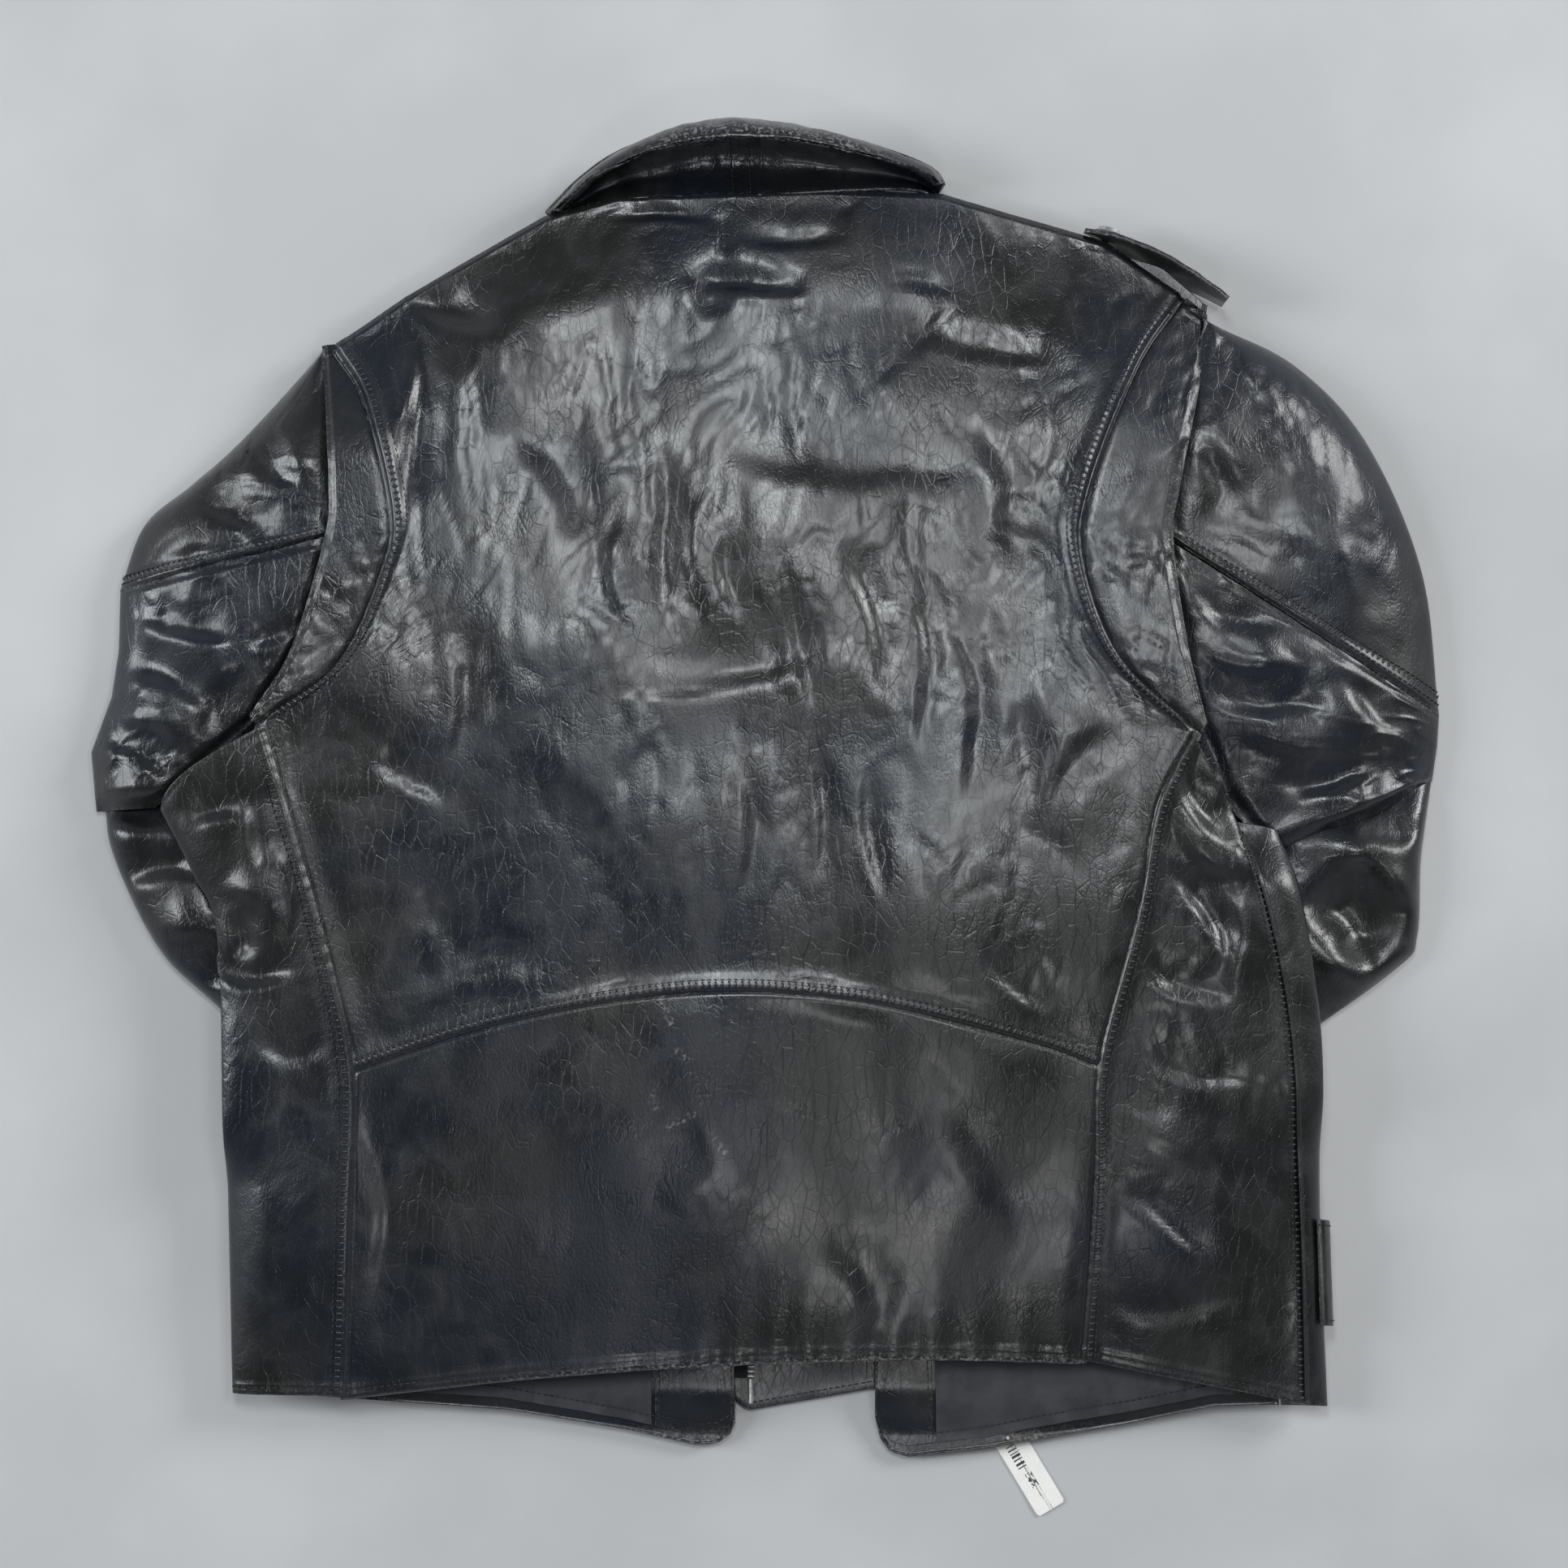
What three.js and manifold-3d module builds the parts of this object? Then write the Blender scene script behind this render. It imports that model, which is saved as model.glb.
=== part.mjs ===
// A black leather biker jacket lying on its front: its back is up, its collar curls up at the top, and its
// forearms are tucked in under the body. Millimetres, +Z up, +Y towards the collar, +X towards the wearer's
// right sleeve. The origin is on the ground under the middle of the jacket.
import * as THREE from "three";
import { mergeVertices } from "three/addons/utils/BufferGeometryUtils.js";
import Module from "manifold-3d";

const wasm = await Module();
wasm.setup();

// ---------------------------------------------------------------- driving dimensions
const LEATHER = 1.4; // shell leather
const LINING = 0.8; // lining cloth
const GAP = 0.5; // half the gap left between two sewn pieces
const FRONT_Z = 15.9; // inner face of the fronts above the ground, with the zips and belt under them
const LIFT = 21; // how much higher the fronts pass over the tucked forearms
const SLEEVE_TOP = 44; // crown of the upper sleeves
const FOREARM_TOP = 26; // crown of the tucked forearms
const EDGE_HEIGHT = 9; // how far the rounded side edge is above the fronts
const SHOULDER_DROP = 14; // how far the back curves down to the shoulder seam
const COLLAR_TOP = 74; // free edge of the collar fall above the ground
const BELT_WIDTH = 44;
const BELT_THICK = 2.4;
const BELT_Z = 2.2;
const BUCKLE = { reach: 36, half: 24, window: 19, bar: 1.2, rim: 5, thick: 3, strapWidth: 32, slot: 6.8 };
const BELT_SLOPE = THREE.MathUtils.degToRad(10);
const ZIP = { chainWidth: 5, chainZ: 9.6, chainThick: 3, tapeWidth: 13, tapeThick: 0.8 };
const BAIL = { half: 0.9, reach: 4, drop: 3.4 }; // the arch on a slider that holds its pull
const POCKET_ZIP = { length: 112, lean: THREE.MathUtils.degToRad(24), x: { left: -132, right: 150 }, y: 6 };
const TAG = { width: 18, length: 56, thick: 0.5, z: 0.4, turn: THREE.MathUtils.degToRad(31) };

// ---------------------------------------------------------------- outlines, seen from above
const curve = (...points) => new THREE.SplineCurve(points.map(([x, y]) => new THREE.Vector2(x, y)));
const path = (...points) => {
  const made = new THREE.CurvePath();
  for (let i = 1; i < points.length; i += 1) {
    made.add(new THREE.LineCurve(new THREE.Vector2(...points[i - 1]), new THREE.Vector2(...points[i])));
  }
  return made;
};
const OUTLINE = {
  waist: curve([-232, -139], [-148, -112], [-42, -94], [54, -99], [149, -122], [189, -136]),
  hemBack: curve([-239, -327], [-111, -312], [27, -304], [96, -303], [181, -306]),
  sideLeft: curve([-239, -327], [-234, -224], [-232, -139], [-249, -63], [-275, 29], [-283, 56]),
  sideRight: curve([181, -306], [187, -200], [189, -136], [211, -49], [222, 11], [242, 51]),
  sideLeftUpper: curve([-232, -139], [-249, -63], [-275, 29], [-283, 56]),
  sideLeftLower: curve([-239, -327], [-234, -224], [-232, -139]),
  sideRightUpper: curve([189, -136], [211, -49], [222, 11], [242, 51]),
  sideRightLower: curve([181, -306], [187, -200], [189, -136]),
  gussetLeft: curve([-283, 56], [-238, 90], [-213, 144], [-209, 177], [-224, 239], [-242, 269]),
  gussetRight: curve([242, 51], [197, 94], [177, 149], [181, 190], [208, 259], [234, 298]),
  armholeLeft: curve([-288, 62], [-265, 98], [-246, 161], [-244, 190], [-246, 223], [-251, 268]),
  armholeRight: curve([248, 58], [236, 103], [228, 159], [232, 190], [248, 264], [251, 286]),
  shoulders: path([-242, 269], [-203, 296], [-124, 342], [-84, 353], [36, 357], [100, 355], [192, 328], [234, 298]),
  edgeLeft: curve([-303, -326], [-306, -178], [-309, -65], [-323, -28], [-341, 8]),
  edgeRight: curve([321, -334], [316, -224], [315, -122], [303, -40], [288, -12]),
  frontSeamRight: curve([308, -332], [304, -224], [298, -122], [284, -49], [272, -14]),
  neck: curve([-124, 342], [-84, 355], [-6, 357], [77, 362], [100, 357]),
  collarRoll: curve([-126, 344], [-102, 367], [-75, 383], [-22, 398], [40, 389], [91, 373], [103, 360]),
  collarEdge: curve([-120, 346], [-88, 372], [-52, 387], [-8, 389], [40, 385], [85, 373], [99, 361]),
  sleeveTopLeft: curve([-254, 268], [-300, 218], [-328, 193], [-355, 170], [-369, 133]),
  sleeveTopRight: curve([254, 286], [303, 262], [344, 218], [376, 144], [386, 62]),
  forearmOutLeft: curve([-384, 9], [-374, -20], [-346, -74], [-308, -111], [-226, -192], [-194, -228]),
  forearmInLeft: curve([-328, 9], [-300, -20], [-249, -53], [-200, -90], [-135, -148], [-112, -180]),
  forearmOutRight: curve([382, 20], [376, -20], [374, -65], [362, -84], [290, -136], [196, -206], [170, -224]),
  forearmInRight: curve([318, -12], [284, -28], [240, -48], [186, -81], [130, -118], [114, -132]),
};
const FOREARM_LINES = [
  { start: [-352, -10], end: [-188, -160], reach: 66 },
  { start: [352, -22], end: [184, -149], reach: 68 },
];
const FRONT_EDGE = { left: -17, right: 63 };

// ---------------------------------------------------------------- heights
const BACK_PROFILE = curve([-340, 29], [-250, 44], [-140, 52], [0, 58], [110, 59], [210, 55], [300, 46], [400, 40]);
const smooth = (x, from, to) => THREE.MathUtils.smoothstep(x, Math.min(from, to), Math.max(from, to));

// Height of the outer face of the back at a place along the jacket.
function backZ(y) {
  const points = BACK_PROFILE.points;
  let i = 1;
  while (i < points.length - 1 && points[i].x < y) i += 1;
  const [a, b] = [points[i - 1], points[i]];
  const share = THREE.MathUtils.clamp((y - a.x) / (b.x - a.x), 0, 1);
  return THREE.MathUtils.lerp(a.y, b.y, share);
}

// Distance from a place to a straight line between two ends.
function distanceTo({ start, end }, x, y) {
  const line = new THREE.Line3(new THREE.Vector3(...start, 0), new THREE.Vector3(...end, 0));
  const place = new THREE.Vector3(x, y, 0);
  return line.closestPointToPoint(place, true, new THREE.Vector3()).distanceTo(place);
}

// Height of the inner face of the fronts, which rise over the forearms.
function frontZ(x, y) {
  const raised = FOREARM_LINES.map((line) => 1 - smooth(distanceTo(line, x, y), line.reach, line.reach + 34));
  return FRONT_Z + LIFT * Math.max(...raised);
}

// ---------------------------------------------------------------- solids
const lerp = THREE.MathUtils.lerp;
const at = (line, t) => line.getPointAt(THREE.MathUtils.clamp(t, 0, 1));

function geometryOf(vertices, triangles) {
  const made = new THREE.BufferGeometry();
  made.setAttribute("position", new THREE.Float32BufferAttribute(vertices.flatMap((v) => v.toArray()), 3));
  made.setIndex(triangles);
  return made;
}

function volumeOf(vertices, triangles) {
  let sum = 0;
  for (let i = 0; i < triangles.length; i += 3) {
    const [a, b, c] = triangles.slice(i, i + 3).map((k) => vertices[k]);
    sum += a.dot(new THREE.Vector3().crossVectors(b, c)) / 6;
  }
  return sum;
}

// Turns the triangles round if they face inwards.
function facingOut(vertices, triangles) {
  const turned = [...triangles];
  if (volumeOf(vertices, triangles) < 0) {
    for (let i = 0; i < turned.length; i += 3) [turned[i + 1], turned[i + 2]] = [turned[i + 2], turned[i + 1]];
  }
  return geometryOf(vertices, turned);
}

// A thin closed piece of sheet: place(u, v) gives one face, and the other is thickness away along the normal.
function sheet(place, columns, rows, thickness) {
  const spot = (i, j) => place(i / columns, j / rows);
  const outer = [];
  const inner = [];
  const STEP = 1e-3;
  for (let j = 0; j <= rows; j += 1) {
    for (let i = 0; i <= columns; i += 1) {
      const u = i / columns;
      const v = j / rows;
      const du = place(Math.min(u + STEP, 1), v).sub(place(Math.max(u - STEP, 0), v));
      const dv = place(u, Math.min(v + STEP, 1)).sub(place(u, Math.max(v - STEP, 0)));
      const normal = du.cross(dv).normalize();
      outer.push(spot(i, j));
      inner.push(spot(i, j).addScaledVector(normal, -thickness));
    }
  }
  const count = outer.length;
  const triangles = [];
  const quad = (a, b, c, d) => triangles.push(a, b, c, a, c, d);
  const k = (i, j) => j * (columns + 1) + i;
  for (let j = 0; j < rows; j += 1) {
    for (let i = 0; i < columns; i += 1) {
      quad(k(i, j), k(i + 1, j), k(i + 1, j + 1), k(i, j + 1));
      quad(count + k(i, j), count + k(i, j + 1), count + k(i + 1, j + 1), count + k(i + 1, j));
    }
  }
  const rim = [];
  for (let i = 0; i < columns; i += 1) rim.push(k(i, 0));
  for (let j = 0; j < rows; j += 1) rim.push(k(columns, j));
  for (let i = columns; i > 0; i -= 1) rim.push(k(i, rows));
  for (let j = rows; j > 0; j -= 1) rim.push(k(0, j));
  rim.forEach((a, n) => {
    const b = rim[(n + 1) % rim.length];
    quad(a, count + a, count + b, b);
  });
  return facingOut([...outer, ...inner], triangles);
}

// A patch between four outlines, kept half a gap inside each of them.
function patch({ bottom, top, left, right }, heightAt) {
  const corner = { bl: at(bottom, 0), br: at(bottom, 1), tl: at(top, 0), tr: at(top, 1) };
  const width = corner.bl.distanceTo(corner.br);
  const height = corner.bl.distanceTo(corner.tl);
  return (u0, v0) => {
    const u = lerp(GAP / width, 1 - GAP / width, u0);
    const v = lerp(GAP / height, 1 - GAP / height, v0);
    const mix = (axis) =>
      lerp(at(bottom, u)[axis], at(top, u)[axis], v) +
      lerp(at(left, v)[axis], at(right, v)[axis], u) -
      lerp(lerp(corner.bl[axis], corner.br[axis], u), lerp(corner.tl[axis], corner.tr[axis], u), v);
    const [x, y] = [mix("x"), mix("y")];
    return new THREE.Vector3(x, y, heightAt(x, y, u, v));
  };
}

// A tube with an open mouth at each end, from rings of outer points and the wall that lies inside them.
function tube(rings, wall) {
  const sides = rings[0].length;
  const inner = rings.map((ring) => {
    const middle = ring.reduce((sum, p) => sum.add(p), new THREE.Vector3()).divideScalar(sides);
    return ring.map((p, i) => {
      const along = ring[(i + 1) % sides].clone().sub(ring[(i + sides - 1) % sides]).normalize();
      const inward = middle.clone().sub(p);
      return p.clone().add(inward.addScaledVector(along, -inward.dot(along)).setLength(wall));
    });
  });
  const vertices = [...rings.flat(), ...inner.flat()];
  const count = rings.length * sides;
  const triangles = [];
  const quad = (a, b, c, d) => triangles.push(a, b, c, a, c, d);
  for (let i = 0; i < sides; i += 1) {
    const n = (i + 1) % sides;
    for (let j = 0; j < rings.length - 1; j += 1) {
      const [a, b, c, d] = [j * sides + i, j * sides + n, (j + 1) * sides + n, (j + 1) * sides + i];
      quad(a, b, c, d);
      quad(count + a, count + d, count + c, count + b);
    }
    const last = (rings.length - 1) * sides;
    quad(i, count + i, count + n, n);
    quad(last + i, last + n, count + last + n, count + last + i);
  }
  return facingOut(vertices, triangles);
}

function solidOf(geometry) {
  const bare = geometry.index ? geometry.toNonIndexed() : geometry.clone();
  bare.deleteAttribute("normal");
  bare.deleteAttribute("uv");
  const merged = mergeVertices(bare, 1e-3);
  const vertProperties = merged.getAttribute("position").array;
  const triVerts = new Uint32Array(merged.index.array);
  return new wasm.Manifold(new wasm.Mesh({ numProp: 3, vertProperties, triVerts }));
}

function geometryFrom(solid) {
  const mesh = solid.getMesh();
  const made = new THREE.BufferGeometry();
  made.setAttribute("position", new THREE.BufferAttribute(new Float32Array(mesh.vertProperties), 3));
  made.setIndex([...mesh.triVerts]);
  return made;
}

// A block given by its lowest and highest corners.
function block([x0, y0, z0], [x1, y1, z1]) {
  return new THREE.BoxGeometry(x1 - x0, y1 - y0, z1 - z0).translate((x0 + x1) / 2, (y0 + y1) / 2, (z0 + z1) / 2);
}

function plate(shape, thickness, z) {
  const options = { depth: thickness, bevelEnabled: false, curveSegments: 6 };
  return new THREE.ExtrudeGeometry(shape, options).translate(0, 0, z);
}

// ---------------------------------------------------------------- finishes
const finish = (color, roughness, metalness) => new THREE.MeshStandardMaterial({ color, roughness, metalness });
const LEATHER_FINISH = finish(0x23262c, 0.45, 0);
const LINING_FINISH = finish(0x1d1e22, 0.8, 0);
const TAPE_FINISH = finish(0x16171a, 0.85, 0);
const METAL_FINISH = finish(0xb9babd, 0.3, 1);
const PAPER_FINISH = finish(0xeceae4, 0.8, 0);
const NYLON_FINISH = finish(0xdadcd8, 0.4, 0);

const group = new THREE.Group();

function add(name, geometry, material, parent = group) {
  const mesh = new THREE.Mesh(geometry, material);
  mesh.name = name;
  parent.add(mesh);
  return mesh;
}

// ---------------------------------------------------------------- body shell
const backHeight = (x, y, u, v) => backZ(y) - SHOULDER_DROP * smooth(v, 0.86, 1);

function addBack() {
  const left = new THREE.CurvePath();
  left.add(OUTLINE.sideLeftUpper);
  left.add(OUTLINE.gussetLeft);
  const right = new THREE.CurvePath();
  right.add(OUTLINE.sideRightUpper);
  right.add(OUTLINE.gussetRight);
  const upper = patch({ bottom: OUTLINE.waist, top: OUTLINE.shoulders, left, right }, backHeight);
  add("upper_back_panel", sheet(upper, 14, 14, LEATHER), LEATHER_FINISH);
  const sides = { left: OUTLINE.sideLeftLower, right: OUTLINE.sideRightLower };
  const lower = patch({ bottom: OUTLINE.hemBack, top: OUTLINE.waist, ...sides }, (x, y) => backZ(y));
  add("lower_back_panel", sheet(lower, 8, 5, LEATHER), LEATHER_FINISH);
}

// A pleated gusset behind the arm, one step below the back panel.
function addGusset(side, inner, outer) {
  const PLEAT_STEP = 6;
  const MARGIN = 0.03;
  const place = (u, v0) => {
    const v = lerp(MARGIN, 1 - MARGIN, v0);
    const [a, b] = [at(inner, v), at(outer, v)];
    const width = Math.max(a.distanceTo(b), 1);
    const share = lerp(2 * GAP / width, 1 - 2 * GAP / width, u);
    const x = lerp(a.x, b.x, share);
    const y = lerp(a.y, b.y, share);
    return new THREE.Vector3(x, y, backZ(y) - PLEAT_STEP - SHOULDER_DROP * smooth(v, 0.7, 1) + LEATHER);
  };
  const turned = side === "left" ? (u, v) => place(1 - u, v) : place;
  add(`${side}_action_gusset`, sheet(turned, 3, 10, LEATHER), LEATHER_FINISH);
}

// The outer edge of the body rolls from the back down to the fronts.
function rolledEdge(seam, edge, under, from, to) {
  return (u0, v0) => {
    const v = lerp(0.004, 0.996, v0);
    const u = lerp(from, to, u0);
    const s = at(seam, v);
    const e = at(edge, v);
    const low = frontZ(e.x + under, e.y);
    const high = backZ(s.y);
    const side = low + Math.min(EDGE_HEIGHT, (high - low) * 0.45);
    const y = lerp(s.y, e.y, Math.min(u * 2, 1));
    if (u < 0.5) {
      const turn = u * Math.PI;
      const start = s.x + Math.sign(e.x - s.x) * 2 * GAP;
      return new THREE.Vector3(lerp(start, e.x, Math.sin(turn)), y, lerp(side, high, Math.cos(turn)));
    }
    const turn = (u - 0.5) * Math.PI;
    return new THREE.Vector3(lerp(e.x + under, e.x, Math.cos(turn)), y, lerp(side, low, Math.sin(turn)));
  };
}

function addSidePanels() {
  const left = rolledEdge(OUTLINE.sideLeft, OUTLINE.edgeLeft, 26, 0, 1);
  add("left_side_panel", sheet((u, v) => left(1 - u, v), 8, 10, LEATHER), LEATHER_FINISH);
  const place = (u, v0) => {
    const v = lerp(0.004, 0.996, v0);
    const s = at(OUTLINE.sideRight, v);
    const f = at(OUTLINE.frontSeamRight, v);
    const x = lerp(s.x + 2 * GAP, f.x - GAP, u);
    const low = frontZ(f.x, f.y);
    const high = backZ(s.y);
    const end = lerp(low, high, 0.62);
    return new THREE.Vector3(x, lerp(s.y, f.y, u), lerp(end, high, Math.cos((u * Math.PI) / 2)));
  };
  add("right_side_panel", sheet(place, 5, 10, LEATHER), LEATHER_FINISH);
}

// The wearer's right front starts on top of the edge, at its piped seam, and wraps round and under.
function edgeStrip(u, v0) {
  const v = lerp(0.004, 0.996, v0);
  const f = at(OUTLINE.frontSeamRight, v);
  const e = at(OUTLINE.edgeRight, v);
  const low = frontZ(f.x, f.y);
  const high = lerp(low, backZ(at(OUTLINE.sideRight, v).y), 0.62);
  const side = lerp(low, high, 0.4);
  const y = lerp(f.y, e.y, Math.min(2 * u, 1));
  if (u < 0.5) {
    const turn = u * Math.PI;
    return new THREE.Vector3(lerp(f.x + GAP, e.x, Math.sin(turn)), y, lerp(side, high, Math.cos(turn)));
  }
  const turn = (u - 0.5) * Math.PI;
  return new THREE.Vector3(lerp(e.x - 26, e.x, Math.cos(turn)), y, lerp(side, low, Math.sin(turn)));
}

const frontTop = {
  left: path([-242, 266], [-203, 292], [-124, 336], [-100, 322], [-62, 262], [FRONT_EDGE.left, 190]),
  right: path([FRONT_EDGE.right, 190], [78, 262], [92, 322], [104, 350], [192, 322], [234, 292]),
};
const frontSide = {
  left: curve([-277, -326], [-280, -178], [-283, -65], [-290, -20], [-272, 66], [-250, 160], [-242, 266]),
  right: curve([294, -333], [289, -224], [286, -122], [270, -40], [246, 52], [230, 160], [234, 292]),
};

function frontOutline(side) {
  const edge = path([FRONT_EDGE[side], -350], [FRONT_EDGE[side], 190]);
  if (side === "left") {
    const bottom = path([-277, -326], [-254, -328], [-148, -336], [-79, -348], [-32, -357], [-17, -350]);
    return { bottom, top: frontTop.left, left: frontSide.left, right: edge };
  }
  const bottom = path([63, -350], [72, -363], [128, -359], [206, -345], [257, -334], [294, -333]);
  return { bottom, top: frontTop.right, left: edge, right: frontSide.right };
}

const frontHeight = (offset) => (x, y, u, v) => frontZ(x, y) + offset + 9 * smooth(v, 0.9, 1);

// The linings and facings take the same grid as the shell over them, so that they run parallel to it.
function addFronts() {
  const COLUMNS = 10;
  const ROWS = 14;
  const INSET = 0.012;
  const TOP_ROW = 13;
  const FACING_COLUMNS = 2;
  for (const side of ["left", "right"]) {
    const outline = frontOutline(side);
    const shell = patch(outline, frontHeight(0));
    add(`${side}_front_panel`, sheet(shell, COLUMNS, ROWS, LEATHER), LEATHER_FINISH);
    const faced = patch(outline, frontHeight(LINING + 1.2));
    const strip = (first, last) => (u, v) =>
      faced(
        THREE.MathUtils.clamp(lerp(first, last, u) / COLUMNS, first / COLUMNS + INSET, last / COLUMNS - INSET),
        THREE.MathUtils.clamp((v * TOP_ROW) / ROWS, INSET, 1),
      );
    const inner = side === "left" ? [COLUMNS - FACING_COLUMNS, COLUMNS] : [0, FACING_COLUMNS];
    const outer = side === "left" ? [1, COLUMNS - FACING_COLUMNS] : [FACING_COLUMNS, COLUMNS - 1];
    const columns = outer[1] - outer[0];
    add(`${side}_front_facing`, sheet(strip(...inner), FACING_COLUMNS, TOP_ROW, LINING), LEATHER_FINISH);
    add(`${side}_front_lining`, sheet(strip(...outer), columns, TOP_ROW, LINING), LINING_FINISH);
  }
}

function addBackLining() {
  const DEPTH = 3;
  const outline = {
    bottom: curve([-226, -316], [-111, -305], [27, -297], [96, -296], [170, -299]),
    top: path([-190, 278], [-110, 322], [90, 336], [186, 300]),
    left: curve([-226, -316], [-224, -140], [-252, 20], [-205, 150], [-190, 278]),
    right: curve([170, -299], [178, -136], [212, 20], [172, 160], [186, 300]),
  };
  const place = patch(outline, (x, y, u, v) => backZ(y) - LEATHER - DEPTH - 8 * smooth(v, 0.86, 1));
  add("back_lining", sheet(place, 8, 12, LINING), LINING_FINISH);
}

// ---------------------------------------------------------------- sleeves
// Share of the way from the armhole to the outer fold, and share of the height, round half a flattened sleeve.
const SLEEVE_SECTION = [
  [0, 1], [0.3, 0.98], [0.6, 0.88], [0.82, 0.68], [0.95, 0.45], [1, 0.25], [0.97, 0.08], [0.9, 0], [0.45, 0], [0, 0],
];

function sleevePiece(inner, outer, height, cut) {
  return (u, v0) => {
    const v = lerp(0.02, 0.98, v0);
    const a = at(inner, v);
    const b = at(outer, v);
    const step = u * (SLEEVE_SECTION.length - 1);
    const i = Math.min(Math.floor(step), SLEEVE_SECTION.length - 2);
    const reach = lerp(SLEEVE_SECTION[i][0], SLEEVE_SECTION[i + 1][0], step - i);
    const share = lerp(SLEEVE_SECTION[i][1], SLEEVE_SECTION[i + 1][1], step - i);
    const gap = cut / Math.max(a.distanceTo(b), cut * 2);
    return new THREE.Vector3(
      lerp(a.x, b.x, lerp(gap, 1, reach)),
      lerp(a.y, b.y, lerp(gap, 1, reach)),
      height(v) * share,
    );
  };
}

// The upper sleeve's rows fan out from the shoulder to the stitched band; the lower ones run on to the elbow.
function addSleeves() {
  const pieces = {
    left: {
      head: path([-250, 266], [-247, 223], [-245, 190], [-247, 163]),
      below: path([-247, 160], [-266, 98], [-289, 62], [-341, 16]),
      top: OUTLINE.sleeveTopLeft,
      low: path([-369, 131], [-370, 98], [-374, 72], [-386, 40], [-384, 14]),
    },
    right: {
      head: path([250, 284], [247, 262], [233, 190], [230, 161]),
      below: path([230, 157], [237, 103], [249, 60], [274, 15], [300, -4]),
      top: OUTLINE.sleeveTopRight,
      low: path([386, 60], [385, 43], [383, 26]),
    },
  };
  for (const side of ["left", "right"]) {
    const { head, below, top, low } = pieces[side];
    const columns = SLEEVE_SECTION.length - 1;
    const upper = sleevePiece(head, top, (v) => lerp(30, SLEEVE_TOP, smooth(v, 0, 0.6)), 4);
    const lower = sleevePiece(below, low, (v) => lerp(SLEEVE_TOP, 30, smooth(v, 0.3, 1)), 4);
    const turn = (place) => (side === "left" ? place : (u, v) => place(1 - u, v));
    add(`${side}_upper_sleeve`, sheet(turn(upper), columns, 7, LEATHER), LEATHER_FINISH);
    add(`${side}_lower_sleeve`, sheet(turn(lower), columns, 6, LEATHER), LEATHER_FINISH);
  }
}

// Across and up, as shares of half the width and of the height, round a flattened forearm.
const FOREARM_SECTION = [
  [-1, 0.35], [-0.88, 0.75], [-0.55, 0.96], [0, 1], [0.55, 0.96], [0.88, 0.75],
  [1, 0.35], [0.96, 0.08], [0.86, 0], [0, 0], [-0.86, 0], [-0.96, 0.08],
];

function forearmRings(outer, inner, from, to, steps) {
  const rings = [];
  for (let j = 0; j <= steps; j += 1) {
    const v = lerp(from, to, j / steps);
    const a = at(outer, v);
    const b = at(inner, v);
    const ring = FOREARM_SECTION.map(
      ([across, up]) => new THREE.Vector3(lerp(a.x, b.x, (1 + across) / 2), lerp(a.y, b.y, (1 + across) / 2), up),
    );
    ring.forEach((p) => {
      p.z *= lerp(FOREARM_TOP, FOREARM_TOP - 4, v);
    });
    rings.push(ring);
  }
  return rings;
}

function addForearms() {
  const CUFF_START = 0.86;
  const outlines = {
    left: [OUTLINE.forearmOutLeft, OUTLINE.forearmInLeft],
    right: [OUTLINE.forearmInRight, OUTLINE.forearmOutRight],
  };
  for (const side of ["left", "right"]) {
    const [a, b] = outlines[side];
    const long = tube(forearmRings(a, b, 0, CUFF_START, 9), LEATHER);
    const cuff = tube(forearmRings(a, b, CUFF_START + 0.004, 1, 2), LEATHER + 0.8);
    add(`${side}_forearm_sleeve`, long, LEATHER_FINISH);
    add(`${side}_cuff`, cuff, LEATHER_FINISH);
  }
}

// ---------------------------------------------------------------- collar
function addCollar() {
  const ROLL_Z = 36;
  const endDrop = (v) => 16 * (1 - Math.sin(Math.PI * v) ** 0.5);
  const stand = (u, v) => {
    const [a, b] = [at(OUTLINE.neck, v), at(OUTLINE.collarRoll, v)];
    const y = lerp(a.y + 1.2, b.y, u);
    const sag = 5 * Math.sin(Math.PI * u);
    return new THREE.Vector3(lerp(a.x, b.x, u), y, lerp(31, ROLL_Z, u) - sag - endDrop(v) * 0.8);
  };
  const inEnds = (place) => (u, v) => place(u, lerp(0.05, 0.95, v));
  add("collar_stand", sheet(inEnds(stand), 4, 12, LEATHER * 1.4), LEATHER_FINISH);
  const fall = (u, v) => {
    const [a, b] = [at(OUTLINE.collarRoll, v), at(OUTLINE.collarEdge, v)];
    const bulge = 3 * Math.sin(Math.PI * u);
    const rise = (COLLAR_TOP - ROLL_Z) * Math.sin((u * Math.PI) / 2) ** 0.9;
    const z = ROLL_Z + 1.2 + rise * (0.25 + 0.75 * Math.sin(Math.PI * v) ** 0.6) - endDrop(v) * 0.8;
    return new THREE.Vector3(lerp(a.x, b.x, u), lerp(a.y + 0.8, b.y, u) + bulge * Math.sin(Math.PI * v), z);
  };
  add("collar_fall", sheet(inEnds((u, v) => fall(1 - u, v)), 5, 12, LEATHER * 1.8), LEATHER_FINISH);
}

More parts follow.
